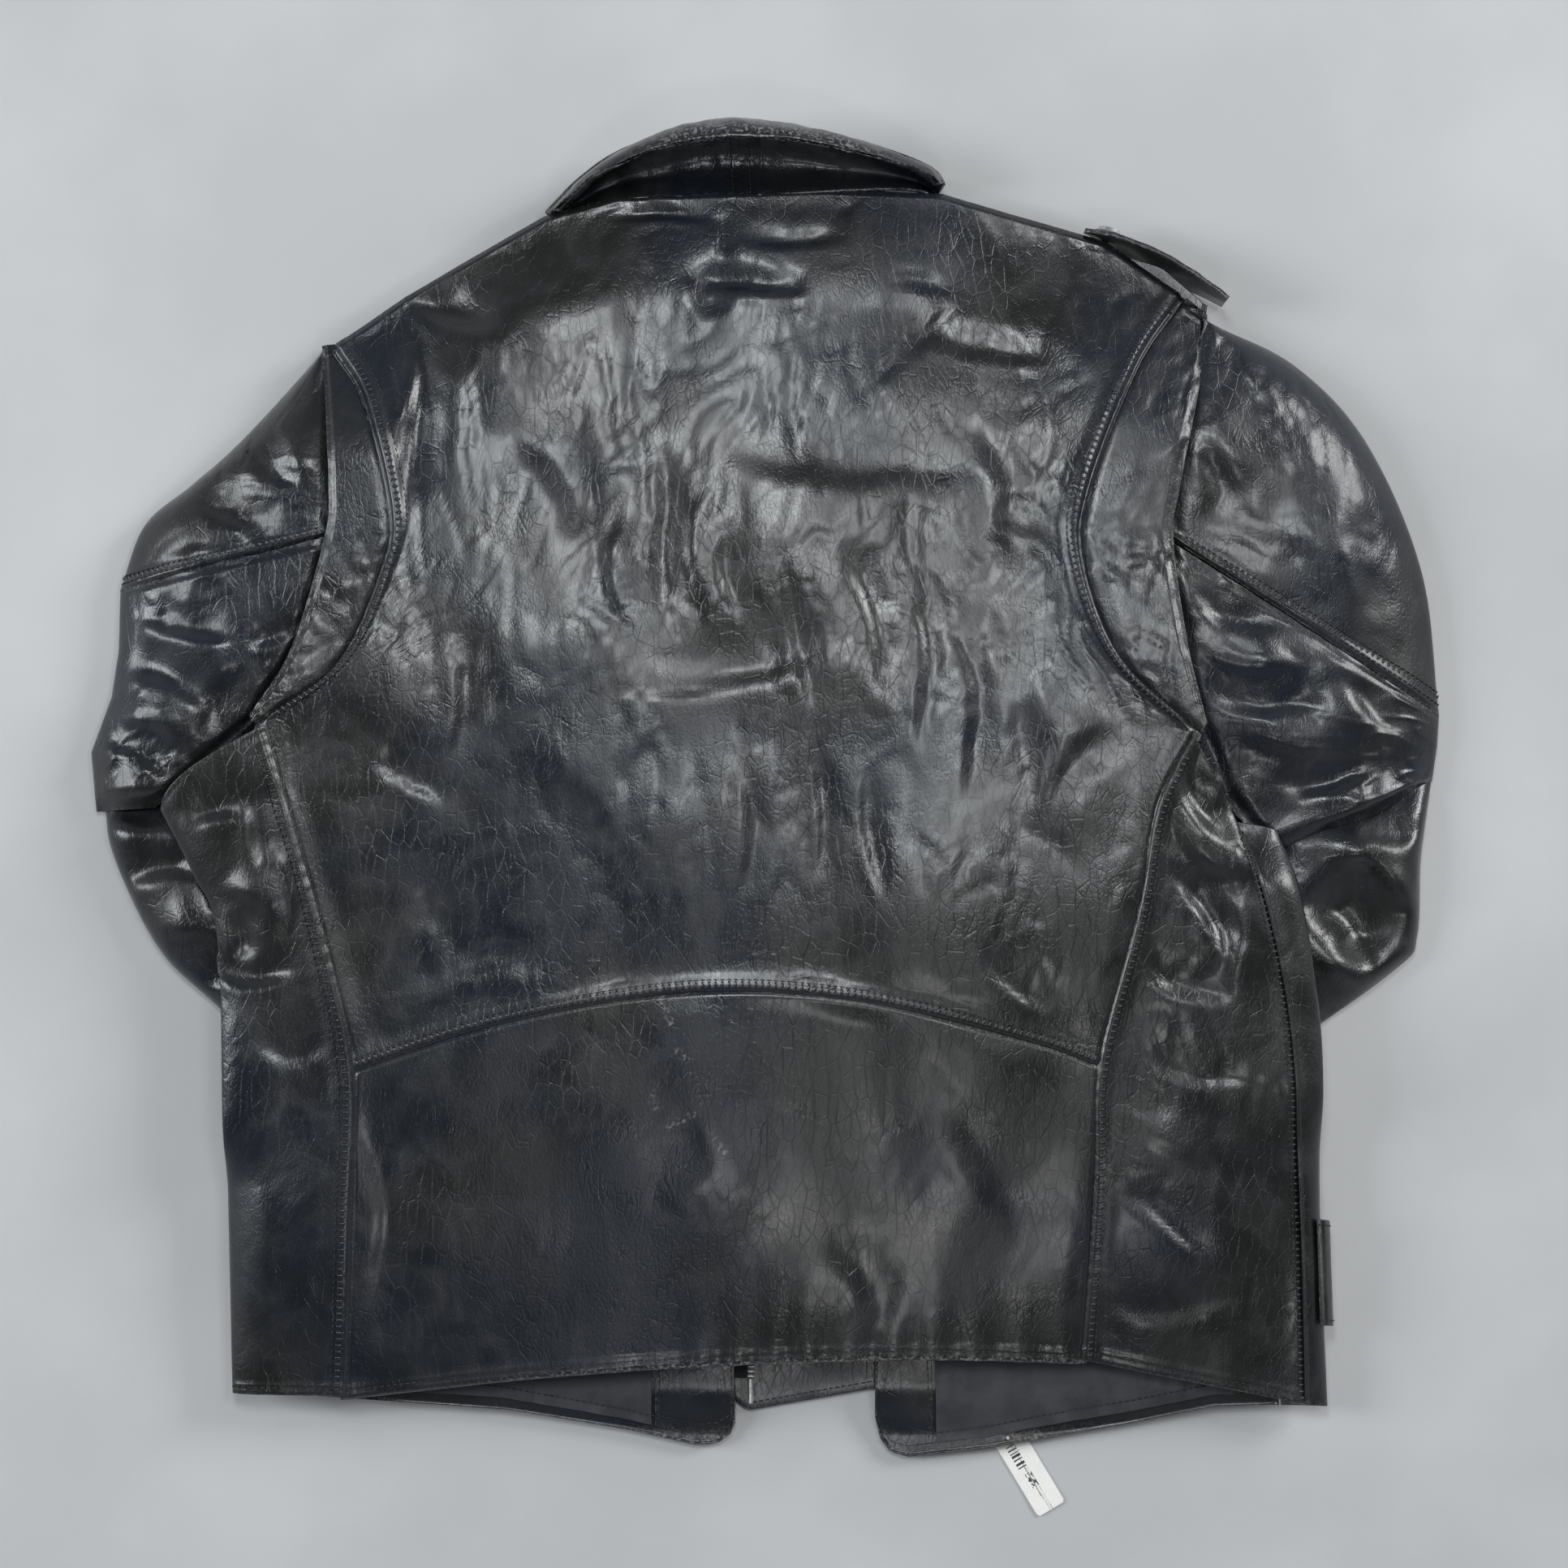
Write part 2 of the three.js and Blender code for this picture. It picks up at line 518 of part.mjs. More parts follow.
// ---------------------------------------------------------------- epaulettes
function addEpaulettes() {
  const SNAP_THICK = 2;
  const [sewn, free] = [new THREE.Vector2(262, 296), new THREE.Vector2(182, 337)];
  const outward = new THREE.Vector2(0.46, 0.888);
  const band = (u, v) => {
    const arch = 2 + 7 * Math.sin(Math.PI * v);
    const x = lerp(sewn.x, free.x, v) + outward.x * arch;
    const y = lerp(sewn.y, free.y, v) + outward.y * arch;
    return new THREE.Vector3(x, y, lerp(46 - 6 * v, 12, u));
  };
  add("right_epaulette", sheet(band, 3, 8, LEATHER * 1.8), LEATHER_FINISH);
  const [before, snapAt, after] = [0.8, 0.86, 0.92].map((v) => band(0.5, v));
  const along = after.sub(before).setZ(0).normalize();
  const facing = new THREE.Vector3(along.y, -along.x, 0);
  const snap = add("right_epaulette_snap", new THREE.CylinderGeometry(6, 7, SNAP_THICK, 16), METAL_FINISH);
  snap.quaternion.setFromUnitVectors(new THREE.Vector3(0, 1, 0), facing);
  snap.position.copy(snapAt).addScaledVector(facing, SNAP_THICK / 2 + 0.4);

  const shape = new THREE.Shape();
  shape.moveTo(0, -22);
  shape.lineTo(88, -17);
  shape.lineTo(106, 0);
  shape.lineTo(88, 17);
  shape.lineTo(0, 22);
  shape.closePath();
  const flat = add("left_epaulette", plate(shape, LEATHER * 1.8, 9.6), LEATHER_FINISH);
  const lean = new THREE.Vector2(110, 62).angle();
  flat.position.set(-226, 246, 0);
  flat.rotation.z = lean;
  const stud = add("left_epaulette_snap", new THREE.CylinderGeometry(7, 6, SNAP_THICK, 16), METAL_FINISH);
  stud.rotation.x = Math.PI / 2;
  stud.position.set(-226 + 88 * Math.cos(lean), 246 + 88 * Math.sin(lean), 8.2);
}

// ---------------------------------------------------------------- belt
function strap(length, tip) {
  const half = BELT_WIDTH / 2;
  const shape = new THREE.Shape();
  shape.moveTo(0, -half);
  shape.lineTo(length - tip, -half);
  shape.lineTo(length, 0);
  shape.lineTo(length - tip, half);
  shape.lineTo(0, half);
  shape.closePath();
  return plate(shape, BELT_THICK, BELT_Z);
}

// A loop on the wearer's right side, standing off the rolled edge.
function addSideLoop() {
  const LOOP = { low: -288, high: -228, stand: 3, thick: 1.6, from: 0.2, to: 0.75 };
  const [bottom, top] = [OUTLINE.edgeRight.points[0].y, OUTLINE.edgeRight.points.at(-1).y];
  const share = (y) => (y - bottom) / (top - bottom);
  const place = (u, v) => {
    const around = lerp(LOOP.from, LOOP.to, u);
    const edge = edgeStrip(around, lerp(share(LOOP.low), share(LOOP.high), v));
    const outward = new THREE.Vector3(Math.sin(Math.PI * around), 0, Math.cos(Math.PI * around));
    const slack = Math.min(Math.sin(Math.PI * u) * 3, 1) * LOOP.stand;
    return edge.addScaledVector(outward, LOOP.thick + 0.8 + slack);
  };
  add("right_side_belt_loop", sheet(place, 6, 3, LOOP.thick), LEATHER_FINISH);
}

// A flat loop: a strip under the belt whose ends rise on both sides of it to the front.
function beltLoop() {
  const LOOP = { width: 20, half: BELT_WIDTH / 2 + 3, thick: 1.6, top: FRONT_Z - LEATHER - 0.4 };
  const shape = new THREE.Shape();
  const tall = LOOP.half + LOOP.thick;
  shape.moveTo(-tall, 0);
  shape.lineTo(tall, 0);
  shape.lineTo(tall, LOOP.top);
  shape.lineTo(LOOP.half, LOOP.top);
  shape.lineTo(LOOP.half, LOOP.thick);
  shape.lineTo(-LOOP.half, LOOP.thick);
  shape.lineTo(-LOOP.half, LOOP.top);
  shape.lineTo(-tall, LOOP.top);
  shape.closePath();
  const made = new THREE.ExtrudeGeometry(shape, { depth: LOOP.width, bevelEnabled: false });
  return made.rotateX(Math.PI / 2).rotateZ(Math.PI / 2);
}

// The buckle strap folds round the buckle's bar, with a slot where the prong passes.
function buckleStrap(length) {
  const [low, high] = [BELT_Z, BELT_Z + BELT_THICK];
  const EYE = 2.5; // inner radius of the fold round the bar
  const WALL = 0.9;
  const middle = (low + high) / 2;
  const profile = new THREE.Shape();
  profile.moveTo(0, low);
  profile.lineTo(length - EYE - 2, low);
  profile.absarc(length, middle, EYE + WALL, Math.PI * 1.22, Math.PI * 2.9, false);
  profile.lineTo(0, high);
  profile.closePath();
  const hole = new THREE.Path();
  hole.absarc(length, middle, EYE, 0, Math.PI * 2, true);
  profile.holes.push(hole);
  const options = { depth: BUCKLE.strapWidth, bevelEnabled: false, curveSegments: 10 };
  const extruded = new THREE.ExtrudeGeometry(profile, options);
  const body = solidOf(extruded.rotateX(Math.PI / 2).translate(0, BUCKLE.strapWidth / 2, 0));
  const slot = solidOf(block([length - 16, -BUCKLE.slot / 2, -10], [length + 10, BUCKLE.slot / 2, 20]));
  return geometryFrom(body.subtract(slot));
}

function addBelt() {
  const FROM_SIDE = { right: [286, -263], left: [-262, -269] };
  const right = new THREE.Group();
  right.position.set(...FROM_SIDE.right, 0);
  right.rotation.z = Math.PI + BELT_SLOPE;
  add("belt_strap", strap(322, 20), LEATHER_FINISH, right);
  const left = new THREE.Group();
  left.position.set(...FROM_SIDE.left, 0);
  left.rotation.z = -BELT_SLOPE;
  const BAR = 130;
  add("buckle_strap", buckleStrap(BAR), LEATHER_FINISH, left);
  const low = BELT_Z + BELT_THICK / 2 - BUCKLE.thick / 2;
  const solid = block([-BUCKLE.bar, -BUCKLE.half, low], [BUCKLE.reach, BUCKLE.half, low + BUCKLE.thick]);
  const inside = [BUCKLE.reach - BUCKLE.rim, BUCKLE.window, low + BUCKLE.thick + 1];
  const hollow = block([BUCKLE.bar, -BUCKLE.window, low - 1], inside);
  const frame = geometryFrom(solidOf(solid).subtract(solidOf(hollow)));
  add("belt_buckle_frame", frame, METAL_FINISH, left).position.x = BAR;
  add("belt_buckle_prong", prongGeometry(), METAL_FINISH, left).position.x = BAR;

  const places = { right: [24, 118], left: [16, 84] };
  for (const side of ["right", "left"]) {
    places[side].forEach((along, i) => {
      const loop = add(`${side}_belt_loop_${i + 1}`, beltLoop(), LEATHER_FINISH, side === "right" ? right : left);
      loop.position.x = along;
    });
  }
  group.add(right, left);
}

// A prong that hooks round the bar and rests on the far side of the frame.
function prongGeometry() {
  const middle = BELT_Z + BELT_THICK / 2;
  const eye = new THREE.Shape();
  eye.absarc(0, 0, 3.3, 0, Math.PI * 2, false);
  const hole = new THREE.Path();
  hole.absarc(0, 0, 2.2, 0, Math.PI * 2, true);
  eye.holes.push(hole);
  const ring = new THREE.ExtrudeGeometry(eye, { depth: 4.4, bevelEnabled: false, curveSegments: 10 });
  ring.rotateX(Math.PI / 2).translate(0, 2.2, middle);
  const bar = block([2, -1.6, middle - 3.2], [34, 1.6, middle - 1.8]);
  return geometryFrom(solidOf(ring).add(solidOf(bar)));
}

// ---------------------------------------------------------------- zips
// A C-shaped slider whose open side lets the tape through; its bridge carries the pull.
function sliderGeometry(length, reach, toward) {
  const half = ZIP.chainWidth / 2 + 0.5;
  const wall = 0.9;
  const low = -ZIP.chainThick / 2 - 0.4;
  const high = ZIP.chainThick / 2 + 0.4;
  const slot = ZIP.tapeThick / 2 + 0.5;
  const corners = [
    [-half - wall, low - wall], [half + reach, low - wall], [half + reach, -slot], [half, -slot], [half, low],
    [-half, low], [-half, high], [half, high], [half, slot], [half + reach, slot],
    [half + reach, high + wall], [-half - wall, high + wall],
  ];
  const shape = new THREE.Shape(corners.map(([x, z]) => new THREE.Vector2(x * toward, -z)));
  const body = new THREE.ExtrudeGeometry(shape, { depth: length, bevelEnabled: false }).rotateX(Math.PI / 2);
  body.translate(0, length / 2, 0);
  const face = low - wall;
  const bail = solidOf(block([-BAIL.half, -BAIL.reach, face - BAIL.drop], [BAIL.half, BAIL.reach, face + 0.2]));
  const arch = solidOf(block([-9, 1 - BAIL.reach, face - BAIL.drop + 1], [9, BAIL.reach - 1, face]));
  return geometryFrom(solidOf(body).add(bail.subtract(arch)));
}

// A flat pull that turns on the end bar of its eye, inside the slider's bail.
function pullGeometry(length) {
  const shape = new THREE.Shape();
  shape.moveTo(-3.4, 0.6);
  shape.lineTo(3.4, 0.6);
  shape.lineTo(4.4, -length + 3);
  shape.lineTo(2.6, -length);
  shape.lineTo(-2.6, -length);
  shape.lineTo(-4.4, -length + 3);
  shape.closePath();
  const hole = new THREE.Path();
  hole.moveTo(-1.5, -0.6);
  hole.lineTo(-1.5, -5.4);
  hole.lineTo(1.5, -5.4);
  hole.lineTo(1.5, -0.6);
  hole.closePath();
  shape.holes.push(hole);
  return plate(shape, 1.2, -0.6);
}

const CHAIN_MIDDLE = ZIP.chainZ + ZIP.chainThick / 2;
const PULL_PIVOT = CHAIN_MIDDLE - ZIP.chainThick / 2 - 2.5; // inside the bail, under the slider

// One row of teeth on its tape. toward is the side where the tape lies, +1 for +X.
function zipHalf(label, x, from, to, toward, parent) {
  const half = ZIP.chainWidth / 2;
  const teeth = block([x - half, from, ZIP.chainZ], [x + half, to, ZIP.chainZ + ZIP.chainThick]);
  add(`${label}_teeth`, teeth, METAL_FINISH, parent);
  const edges = [x + toward * (half + 0.3), x + toward * (half + 0.3 + ZIP.tapeWidth)].sort((a, b) => a - b);
  const low = CHAIN_MIDDLE - ZIP.tapeThick / 2;
  const tape = block([edges[0], from, low], [edges[1], to + 4, low + ZIP.tapeThick]);
  add(`${label}_tape`, tape, TAPE_FINISH, parent);
}

function addMainZip() {
  const TOP = 168;
  const X = { left: -8, right: 92 };
  const MAIN_PULL = 30;
  zipHalf("left_main_zip", X.left, -318, TOP, -1, group);
  zipHalf("right_main_zip", X.right, -318, TOP, 1, group);
  const pin = new THREE.CylinderGeometry(1.3, 1.3, 14, 10).translate(X.left, -325.5, CHAIN_MIDDLE);
  add("zip_insertion_pin", pin, METAL_FINISH);
  const box = block([X.right - 4, -330, CHAIN_MIDDLE - 2.3], [X.right + 4, -318.4, CHAIN_MIDDLE + 2.3]);
  add("zip_retainer_box", box, METAL_FINISH);
  const START = -240;
  const slider = add("main_zip_slider", sliderGeometry(12, 3, 1), METAL_FINISH);
  slider.position.set(X.right, START, CHAIN_MIDDLE);
  const pull = add("main_zip_pull", pullGeometry(MAIN_PULL), METAL_FINISH);
  pull.position.set(X.right, START, PULL_PIVOT);
}

function addPocketZips() {
  for (const side of ["left", "right"]) {
    const sign = side === "left" ? -1 : 1;
    const holder = new THREE.Group();
    holder.position.set(POCKET_ZIP.x[side], POCKET_ZIP.y, 0);
    holder.rotation.z = sign * POCKET_ZIP.lean;
    const half = POCKET_ZIP.length / 2;
    zipHalf(`${side}_pocket_zip`, 0, -half, half, sign, holder);
    const slider = add(`${side}_pocket_slider`, sliderGeometry(8, 2.2, sign), METAL_FINISH, holder);
    slider.position.set(0, half - 5, CHAIN_MIDDLE);
    const pull = add(`${side}_pocket_pull`, pullGeometry(22), METAL_FINISH, holder);
    pull.position.set(0, half - 5, PULL_PIVOT);
    group.add(holder);
  }
}

// ---------------------------------------------------------------- shop tag
function addTag() {
  const holder = new THREE.Group();
  holder.position.set(136, -347, 0);
  holder.rotation.z = TAG.turn;
  const half = TAG.width / 2;
  add("paper_tag", block([-half, -TAG.length, TAG.z], [half, 0, TAG.z + TAG.thick]), PAPER_FINISH, holder);
  const loop = new THREE.CylinderGeometry(0.8, 0.8, 12, 8).rotateX(Math.PI / 2);
  loop.translate(0, -6, TAG.z + TAG.thick + 0.3 + 6);
  add("tag_fastener", loop, NYLON_FINISH, holder);
  group.add(holder);
}

addBack();
addGusset("left", OUTLINE.gussetLeft, OUTLINE.armholeLeft);
addGusset("right", OUTLINE.gussetRight, OUTLINE.armholeRight);
addSidePanels();
add("right_front_edge_panel", sheet(edgeStrip, 6, 10, LEATHER), LEATHER_FINISH);
addSideLoop();
addFronts();
addBackLining();
addSleeves();
addForearms();
addCollar();
addEpaulettes();
addBelt();
addMainZip();
addPocketZips();
addTag();

export default group;
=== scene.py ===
"""A black leather biker jacket lying on its front, with its forearms tucked in under the body.

Every leather panel, lining and strap is a sewn piece of its own, in metres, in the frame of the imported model.
"""

import logging
import math
from collections.abc import Callable, Sequence
from dataclasses import dataclass, field
from enum import Enum

import bpy
import numpy as np
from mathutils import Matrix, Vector


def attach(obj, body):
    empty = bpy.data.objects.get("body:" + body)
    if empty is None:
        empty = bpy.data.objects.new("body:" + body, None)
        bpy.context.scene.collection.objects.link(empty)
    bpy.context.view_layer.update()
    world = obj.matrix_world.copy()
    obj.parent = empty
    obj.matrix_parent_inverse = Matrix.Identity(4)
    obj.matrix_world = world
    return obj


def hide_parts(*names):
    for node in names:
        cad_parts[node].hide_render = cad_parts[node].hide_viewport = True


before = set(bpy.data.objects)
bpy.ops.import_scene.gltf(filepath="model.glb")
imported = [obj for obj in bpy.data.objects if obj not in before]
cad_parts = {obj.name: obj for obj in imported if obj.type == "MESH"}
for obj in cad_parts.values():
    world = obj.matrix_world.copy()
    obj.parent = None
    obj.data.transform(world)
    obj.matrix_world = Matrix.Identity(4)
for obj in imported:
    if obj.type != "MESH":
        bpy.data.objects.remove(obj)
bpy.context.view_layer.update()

LOG = logging.getLogger("jacket")
MM = 0.001
FLOOR_GAP = 0.05
THREAD_FLOOR = 1.1

Array = np.ndarray
Place = tuple[float, float]
Surface = Callable[[Array, Array], Array]
Socket = bpy.types.NodeSocket
Finish = bpy.types.Material
Piece = bpy.types.Object


# ------------------------------------------------------------------ curves and noise
def smooth_step(value: Array, low: float, high: float) -> Array:
    """A smooth rise from 0 at low to 1 at high.

    Args:
        value: Where to read the step.
        low: Where it starts.
        high: Where it ends.

    Returns:
        The step's height at each value.
    """
    t = np.clip((value - low) / (high - low), 0.0, 1.0)
    return t * t * (3 - 2 * t)


def mix(a: Array, b: Array, share: Array) -> Array:
    """A blend of a and b, with share 0 at a and 1 at b."""
    return a + (b - a) * share


class Curve:
    """A smooth open line through given points on the ground plane, in millimetres."""

    def __init__(self, points: Sequence[Place], rounded: bool = True) -> None:
        """Samples the line.

        Args:
            points: The places that the line passes through.
            rounded: False for straight stretches between the points.
        """
        p = np.array(points, float)
        if rounded and len(p) > 2:
            p = self._rounded(p)
        self.p = p
        self.s = np.concatenate([[0.0], np.cumsum(np.linalg.norm(np.diff(p, axis=0), axis=1))])
        self.length = float(self.s[-1])

    @staticmethod
    def _rounded(p: Array, steps: int = 10) -> Array:
        """A Catmull-Rom line through the points."""
        ends = np.vstack([2 * p[0] - p[1], p, 2 * p[-1] - p[-2]])
        t = (np.arange(steps) / steps)[:, None]
        made = []
        for a, b, c, d in zip(ends, ends[1:], ends[2:], ends[3:]):
            curl = (3 * b - a - 3 * c + d) * t**3 + (2 * a - 5 * b + 4 * c - d) * t**2
            made.append(0.5 * (curl + (c - a) * t + 2 * b))
        return np.vstack([*made, p[-1:]])

    def at(self, share: Array) -> Array:
        """The places at shares 0 to 1 of the length, and on past the ends in a straight line."""
        d = np.asarray(share, float) * self.length
        made = np.stack([np.interp(d, self.s, self.p[:, k]) for k in range(2)], -1)
        first = (self.p[1] - self.p[0]) / max(self.s[1], 1e-9)
        last = (self.p[-1] - self.p[-2]) / max(self.s[-1] - self.s[-2], 1e-9)
        made += np.minimum(d, 0.0)[..., None] * first
        return made + np.maximum(d - self.length, 0.0)[..., None] * last

    def near(self, x: Array, y: Array) -> tuple[Array, Array, Array]:
        """Each place's distance to the line, how far along it that is, and its side (1 left, -1 right)."""
        q = np.stack([np.ravel(x), np.ravel(y)], -1)
        best = np.full(len(q), 1e9)
        along = np.zeros(len(q))
        side = np.ones(len(q))
        for a, b, s in zip(self.p[:-1], self.p[1:], self.s[:-1]):
            step = b - a
            size = float(step @ step) or 1e-9
            t = np.clip((q - a) @ step / size, 0, 1)
            gap = np.hypot(q[:, 0] - a[0] - t * step[0], q[:, 1] - a[1] - t * step[1])
            closer = gap < best
            best = np.where(closer, gap, best)
            along = np.where(closer, s + t * math.sqrt(size), along)
            left = step[0] * (q[:, 1] - a[1]) - step[1] * (q[:, 0] - a[0])
            side = np.where(closer, np.sign(left), side)
        shape = np.shape(x)
        return best.reshape(shape), along.reshape(shape), side.reshape(shape)


def lattice(x: Array, y: Array, seed: int) -> Array:
    """Smooth gradient noise from about -1 to 1, the same on each run."""
    xi, yi = np.floor(x).astype(np.int64), np.floor(y).astype(np.int64)
    xf, yf = x - xi, y - yi

    def corner(i: int, j: int) -> Array:
        h = ((xi + i) * 374761393 + (yi + j) * 668265263 + seed * 974634777) & 0xFFFFFFFF
        h = ((h ^ (h >> 13)) * 1274126177) & 0xFFFFFFFF
        turn = (h ^ (h >> 16)) / 2**32 * 2 * math.pi
        return np.cos(turn) * (xf - i) + np.sin(turn) * (yf - j)

    u, v = (t * t * t * (t * (6 * t - 15) + 10) for t in (xf, yf))
    low = mix(corner(0, 0), corner(1, 0), u)
    high = mix(corner(0, 1), corner(1, 1), u)
    return mix(low, high, v) * 1.5


def turned(x: Array, y: Array, degrees: float) -> tuple[Array, Array]:
    """The places seen from axes turned by an angle."""
    c, s = math.cos(math.radians(degrees)), math.sin(math.radians(degrees))
    return c * x + s * y, c * y - s * x


def creases(x: Array, y: Array, across: float, along: float, degrees: float, seed: int) -> Array:
    """Thin creases, from 0 between them to 1 in the middle of one.

    Args:
        x: Places across the jacket.
        y: Places along the jacket.
        across: Usual spacing of the creases in millimetres.
        along: Usual length of a crease in millimetres.
        degrees: Direction that the creases run in, turned from +Y.
        seed: Which pattern.

    Returns:
        The depth of the crease at each place, as a share.
    """
    bend = lattice(x / 44, y / 44, seed + 50) * 6
    bend_too = lattice(x / 44, y / 44, seed + 51) * 6
    a, b = turned(x + bend, y + bend_too, degrees)
    ridge = 1 - np.abs(lattice(a / across, b / along, seed))
    reach = smooth_step(lattice(x / 55, y / 55, seed + 9), -0.35, 0.3)
    return np.clip(ridge, 0, 1) ** 11 * reach


@dataclass(frozen=True)
class Fold:
    """One fold of the leather: a line with a height, which is negative in a valley."""

    points: tuple[Place, ...]
    height: float
    width: float
    sharp: bool = False
    lean: float = 0.45

    def add(self, x: Array, y: Array) -> Array:
        """The height that the fold gives each place, in millimetres.

        Args:
            x: Places across the jacket.
            y: Places along the jacket.

        Returns:
            The added height.
        """
        line = Curve(self.points)
        (x0, y0), (x1, y1) = line.p.min(0) - 4 * self.width, line.p.max(0) + 4 * self.width
        inside = (x > x0) & (x < x1) & (y > y0) & (y < y1)
        made = np.zeros(np.shape(x))
        if not inside.any():
            return made
        px, py = x[inside], y[inside]
        warp = 0.35 * self.width
        qx, qy = px + warp * lattice(px / 34, py / 34, 41), py + warp * lattice(px / 34, py / 34, 42)
        gap, along, side = line.near(qx, qy)
        lean = 1 + self.lean * side * np.tanh(gap / 2)
        gap = np.hypot(gap, 0.4) / (self.width * lean) * (1 + 0.3 * lattice(along / 17, along * 0, 3))
        fade = np.minimum(1, np.minimum(along, line.length - along) / (0.38 * line.length))
        shape = np.exp(-gap * 1.6) if self.sharp else np.exp(-gap * gap)
        flank = 0.14 * np.exp(-((gap - 2.0) ** 2))
        made[inside] = self.height * (shape - flank) * smooth_step(fade, 0, 1)
        return made


def folds_at(folds: Sequence[Fold], x: Array, y: Array) -> Array:
    """The height that all the folds give each place together."""
    total = np.zeros(np.shape(x))
    for fold in folds:
        total += fold.add(x, y)
    return total


# ------------------------------------------------------------------ meshes
def linked(name: str, data: bpy.types.ID) -> Piece:
    """An object for a mesh, a lamp or a camera, put into the scene."""
    made = bpy.data.objects.new(name, data)
    bpy.context.scene.collection.objects.link(made)
    return made


def to_object(name: str, points: Array, faces: Array | Sequence, material: Finish) -> Piece:
    """A smooth mesh object at the origin.

    Args:
        name: The piece's name.
        points: Places in millimetres.
        faces: Corner numbers of each face.
        material: Its finish.

    Returns:
        The linked object.
    """
    mesh = bpy.data.meshes.new(name)
    corners = faces.tolist() if isinstance(faces, np.ndarray) else faces
    mesh.from_pydata((points * MM).tolist(), [], corners)
    mesh.polygons.foreach_set("use_smooth", np.ones(len(mesh.polygons), bool))
    mesh.materials.append(material)
    mesh.update()
    return linked(name, mesh)


def unit(n: Array) -> Array:
    """The vectors at length 1."""
    return n / np.maximum(np.linalg.norm(n, axis=-1, keepdims=True), 1e-9)


def grid_normals(p: Array) -> Array:
    """Unit normals of a grid of places."""
    return unit(np.cross(np.gradient(p, axis=1), np.gradient(p, axis=0)))


def spacing(length: float, step: float, fine: tuple[bool, bool] = (True, True)) -> Array:
    """Shares 0 to 1 along a length, set closer by the sewn edges.

    Args:
        length: The length in millimetres.
        step: Usual distance between two places.
        fine: Whether the first and the last edge are sewn.

    Returns:
        The shares, rising.
    """
    near = np.array([0.0, 0.5, 1.1, 1.9, 3.0, 4.3, 5.6, 6.9, 8.4, 10.2])
    low = near if fine[0] else near[:1]
    high = length - near[::-1] if fine[1] else np.array([length])
    middle = np.linspace(low[-1], high[0], max(int((high[0] - low[-1]) / step), 2) + 1)
    return np.concatenate([low[:-1], middle, high[1:]]) / length


@dataclass
class Sheet:
    """A sewn piece of sheet, laid out on a surface by shares u and v."""

    name: str
    surface: Surface
    us: Array
    vs: Array
    thick: float
    body: str = "root"

    def build(self, material: Finish, flip: bool = False) -> Piece:
        """Makes the closed sheet: the surface, its inner face and its rim.

        Args:
            material: Its finish.
            flip: True where u and v turn the surface's face inwards.

        Returns:
            The object, with a UV map in metres and an attribute "edge" that is 1 at its rim.
        """
        u, v = np.meshgrid(self.us, self.vs)
        outer = self.surface(u, v)
        normals = grid_normals(outer) * (-1 if flip else 1)
        inner = outer - normals * self.thick
        inner[..., 2] = np.maximum(inner[..., 2], FLOOR_GAP)
        rows, columns = u.shape
        count = rows * columns
        k = np.arange(count).reshape(rows, columns)
        quads = np.stack([k[:-1, :-1], k[:-1, 1:], k[1:, 1:], k[1:, :-1]], -1).reshape(-1, 4)
        back = quads[:, ::-1] + count
        rim = np.concatenate([k[0, :-1], k[:-1, -1], k[-1, :0:-1], k[:0:-1, 0]])
        after = np.roll(rim, -1)
        side = np.stack([rim, rim + count, after + count, after], -1)
        faces = np.concatenate([quads, back, side])
        if flip:
            faces = faces[:, ::-1]
        points = np.concatenate([outer.reshape(-1, 3), inner.reshape(-1, 3)])
        made = to_object(self.name, points, faces, material)
        across = np.cumsum(np.linalg.norm(np.diff(outer, axis=1, prepend=outer[:, :1]), axis=-1), 1)
        along = np.cumsum(np.linalg.norm(np.diff(outer, axis=0, prepend=outer[:1]), axis=-1), 0)
        flat = np.stack([across, along], -1).reshape(-1, 2) * MM
        flat = np.concatenate([flat, flat])
        layer = made.data.uv_layers.new(name="UVMap")
        corners = np.zeros(len(made.data.loops), np.int32)
        made.data.loops.foreach_get("vertex_index", corners)
        layer.data.foreach_set("uv", flat[corners].astype(np.float32).ravel())
        gap = np.minimum(np.minimum(across, across[:, -1:] - across), np.minimum(along, along[-1:] - along))
        worn = np.exp(-np.maximum(gap, 0) / 1.6).ravel()
        edge = made.data.attributes.new("edge", "FLOAT", "POINT")
        edge.data.foreach_set("value", np.concatenate([worn, worn]).astype(np.float32))
        self.width = float(across[:, -1].max()) * MM
        self.height = float(along[-1].max()) * MM
        cross = np.cross(outer[1:, 1:] - outer[:-1, :-1], outer[1:, :-1] - outer[:-1, 1:])
        self.area = float(np.linalg.norm(cross, axis=-1).sum() / 2) * MM * MM
        return made


# ------------------------------------------------------------------ outlines, seen from above, in millimetres
def joined(*curves: Curve) -> Curve:
    """One line through several, with its corners kept."""
    return Curve(np.vstack([curves[0].p, *(c.p[1:] for c in curves[1:])]), rounded=False)


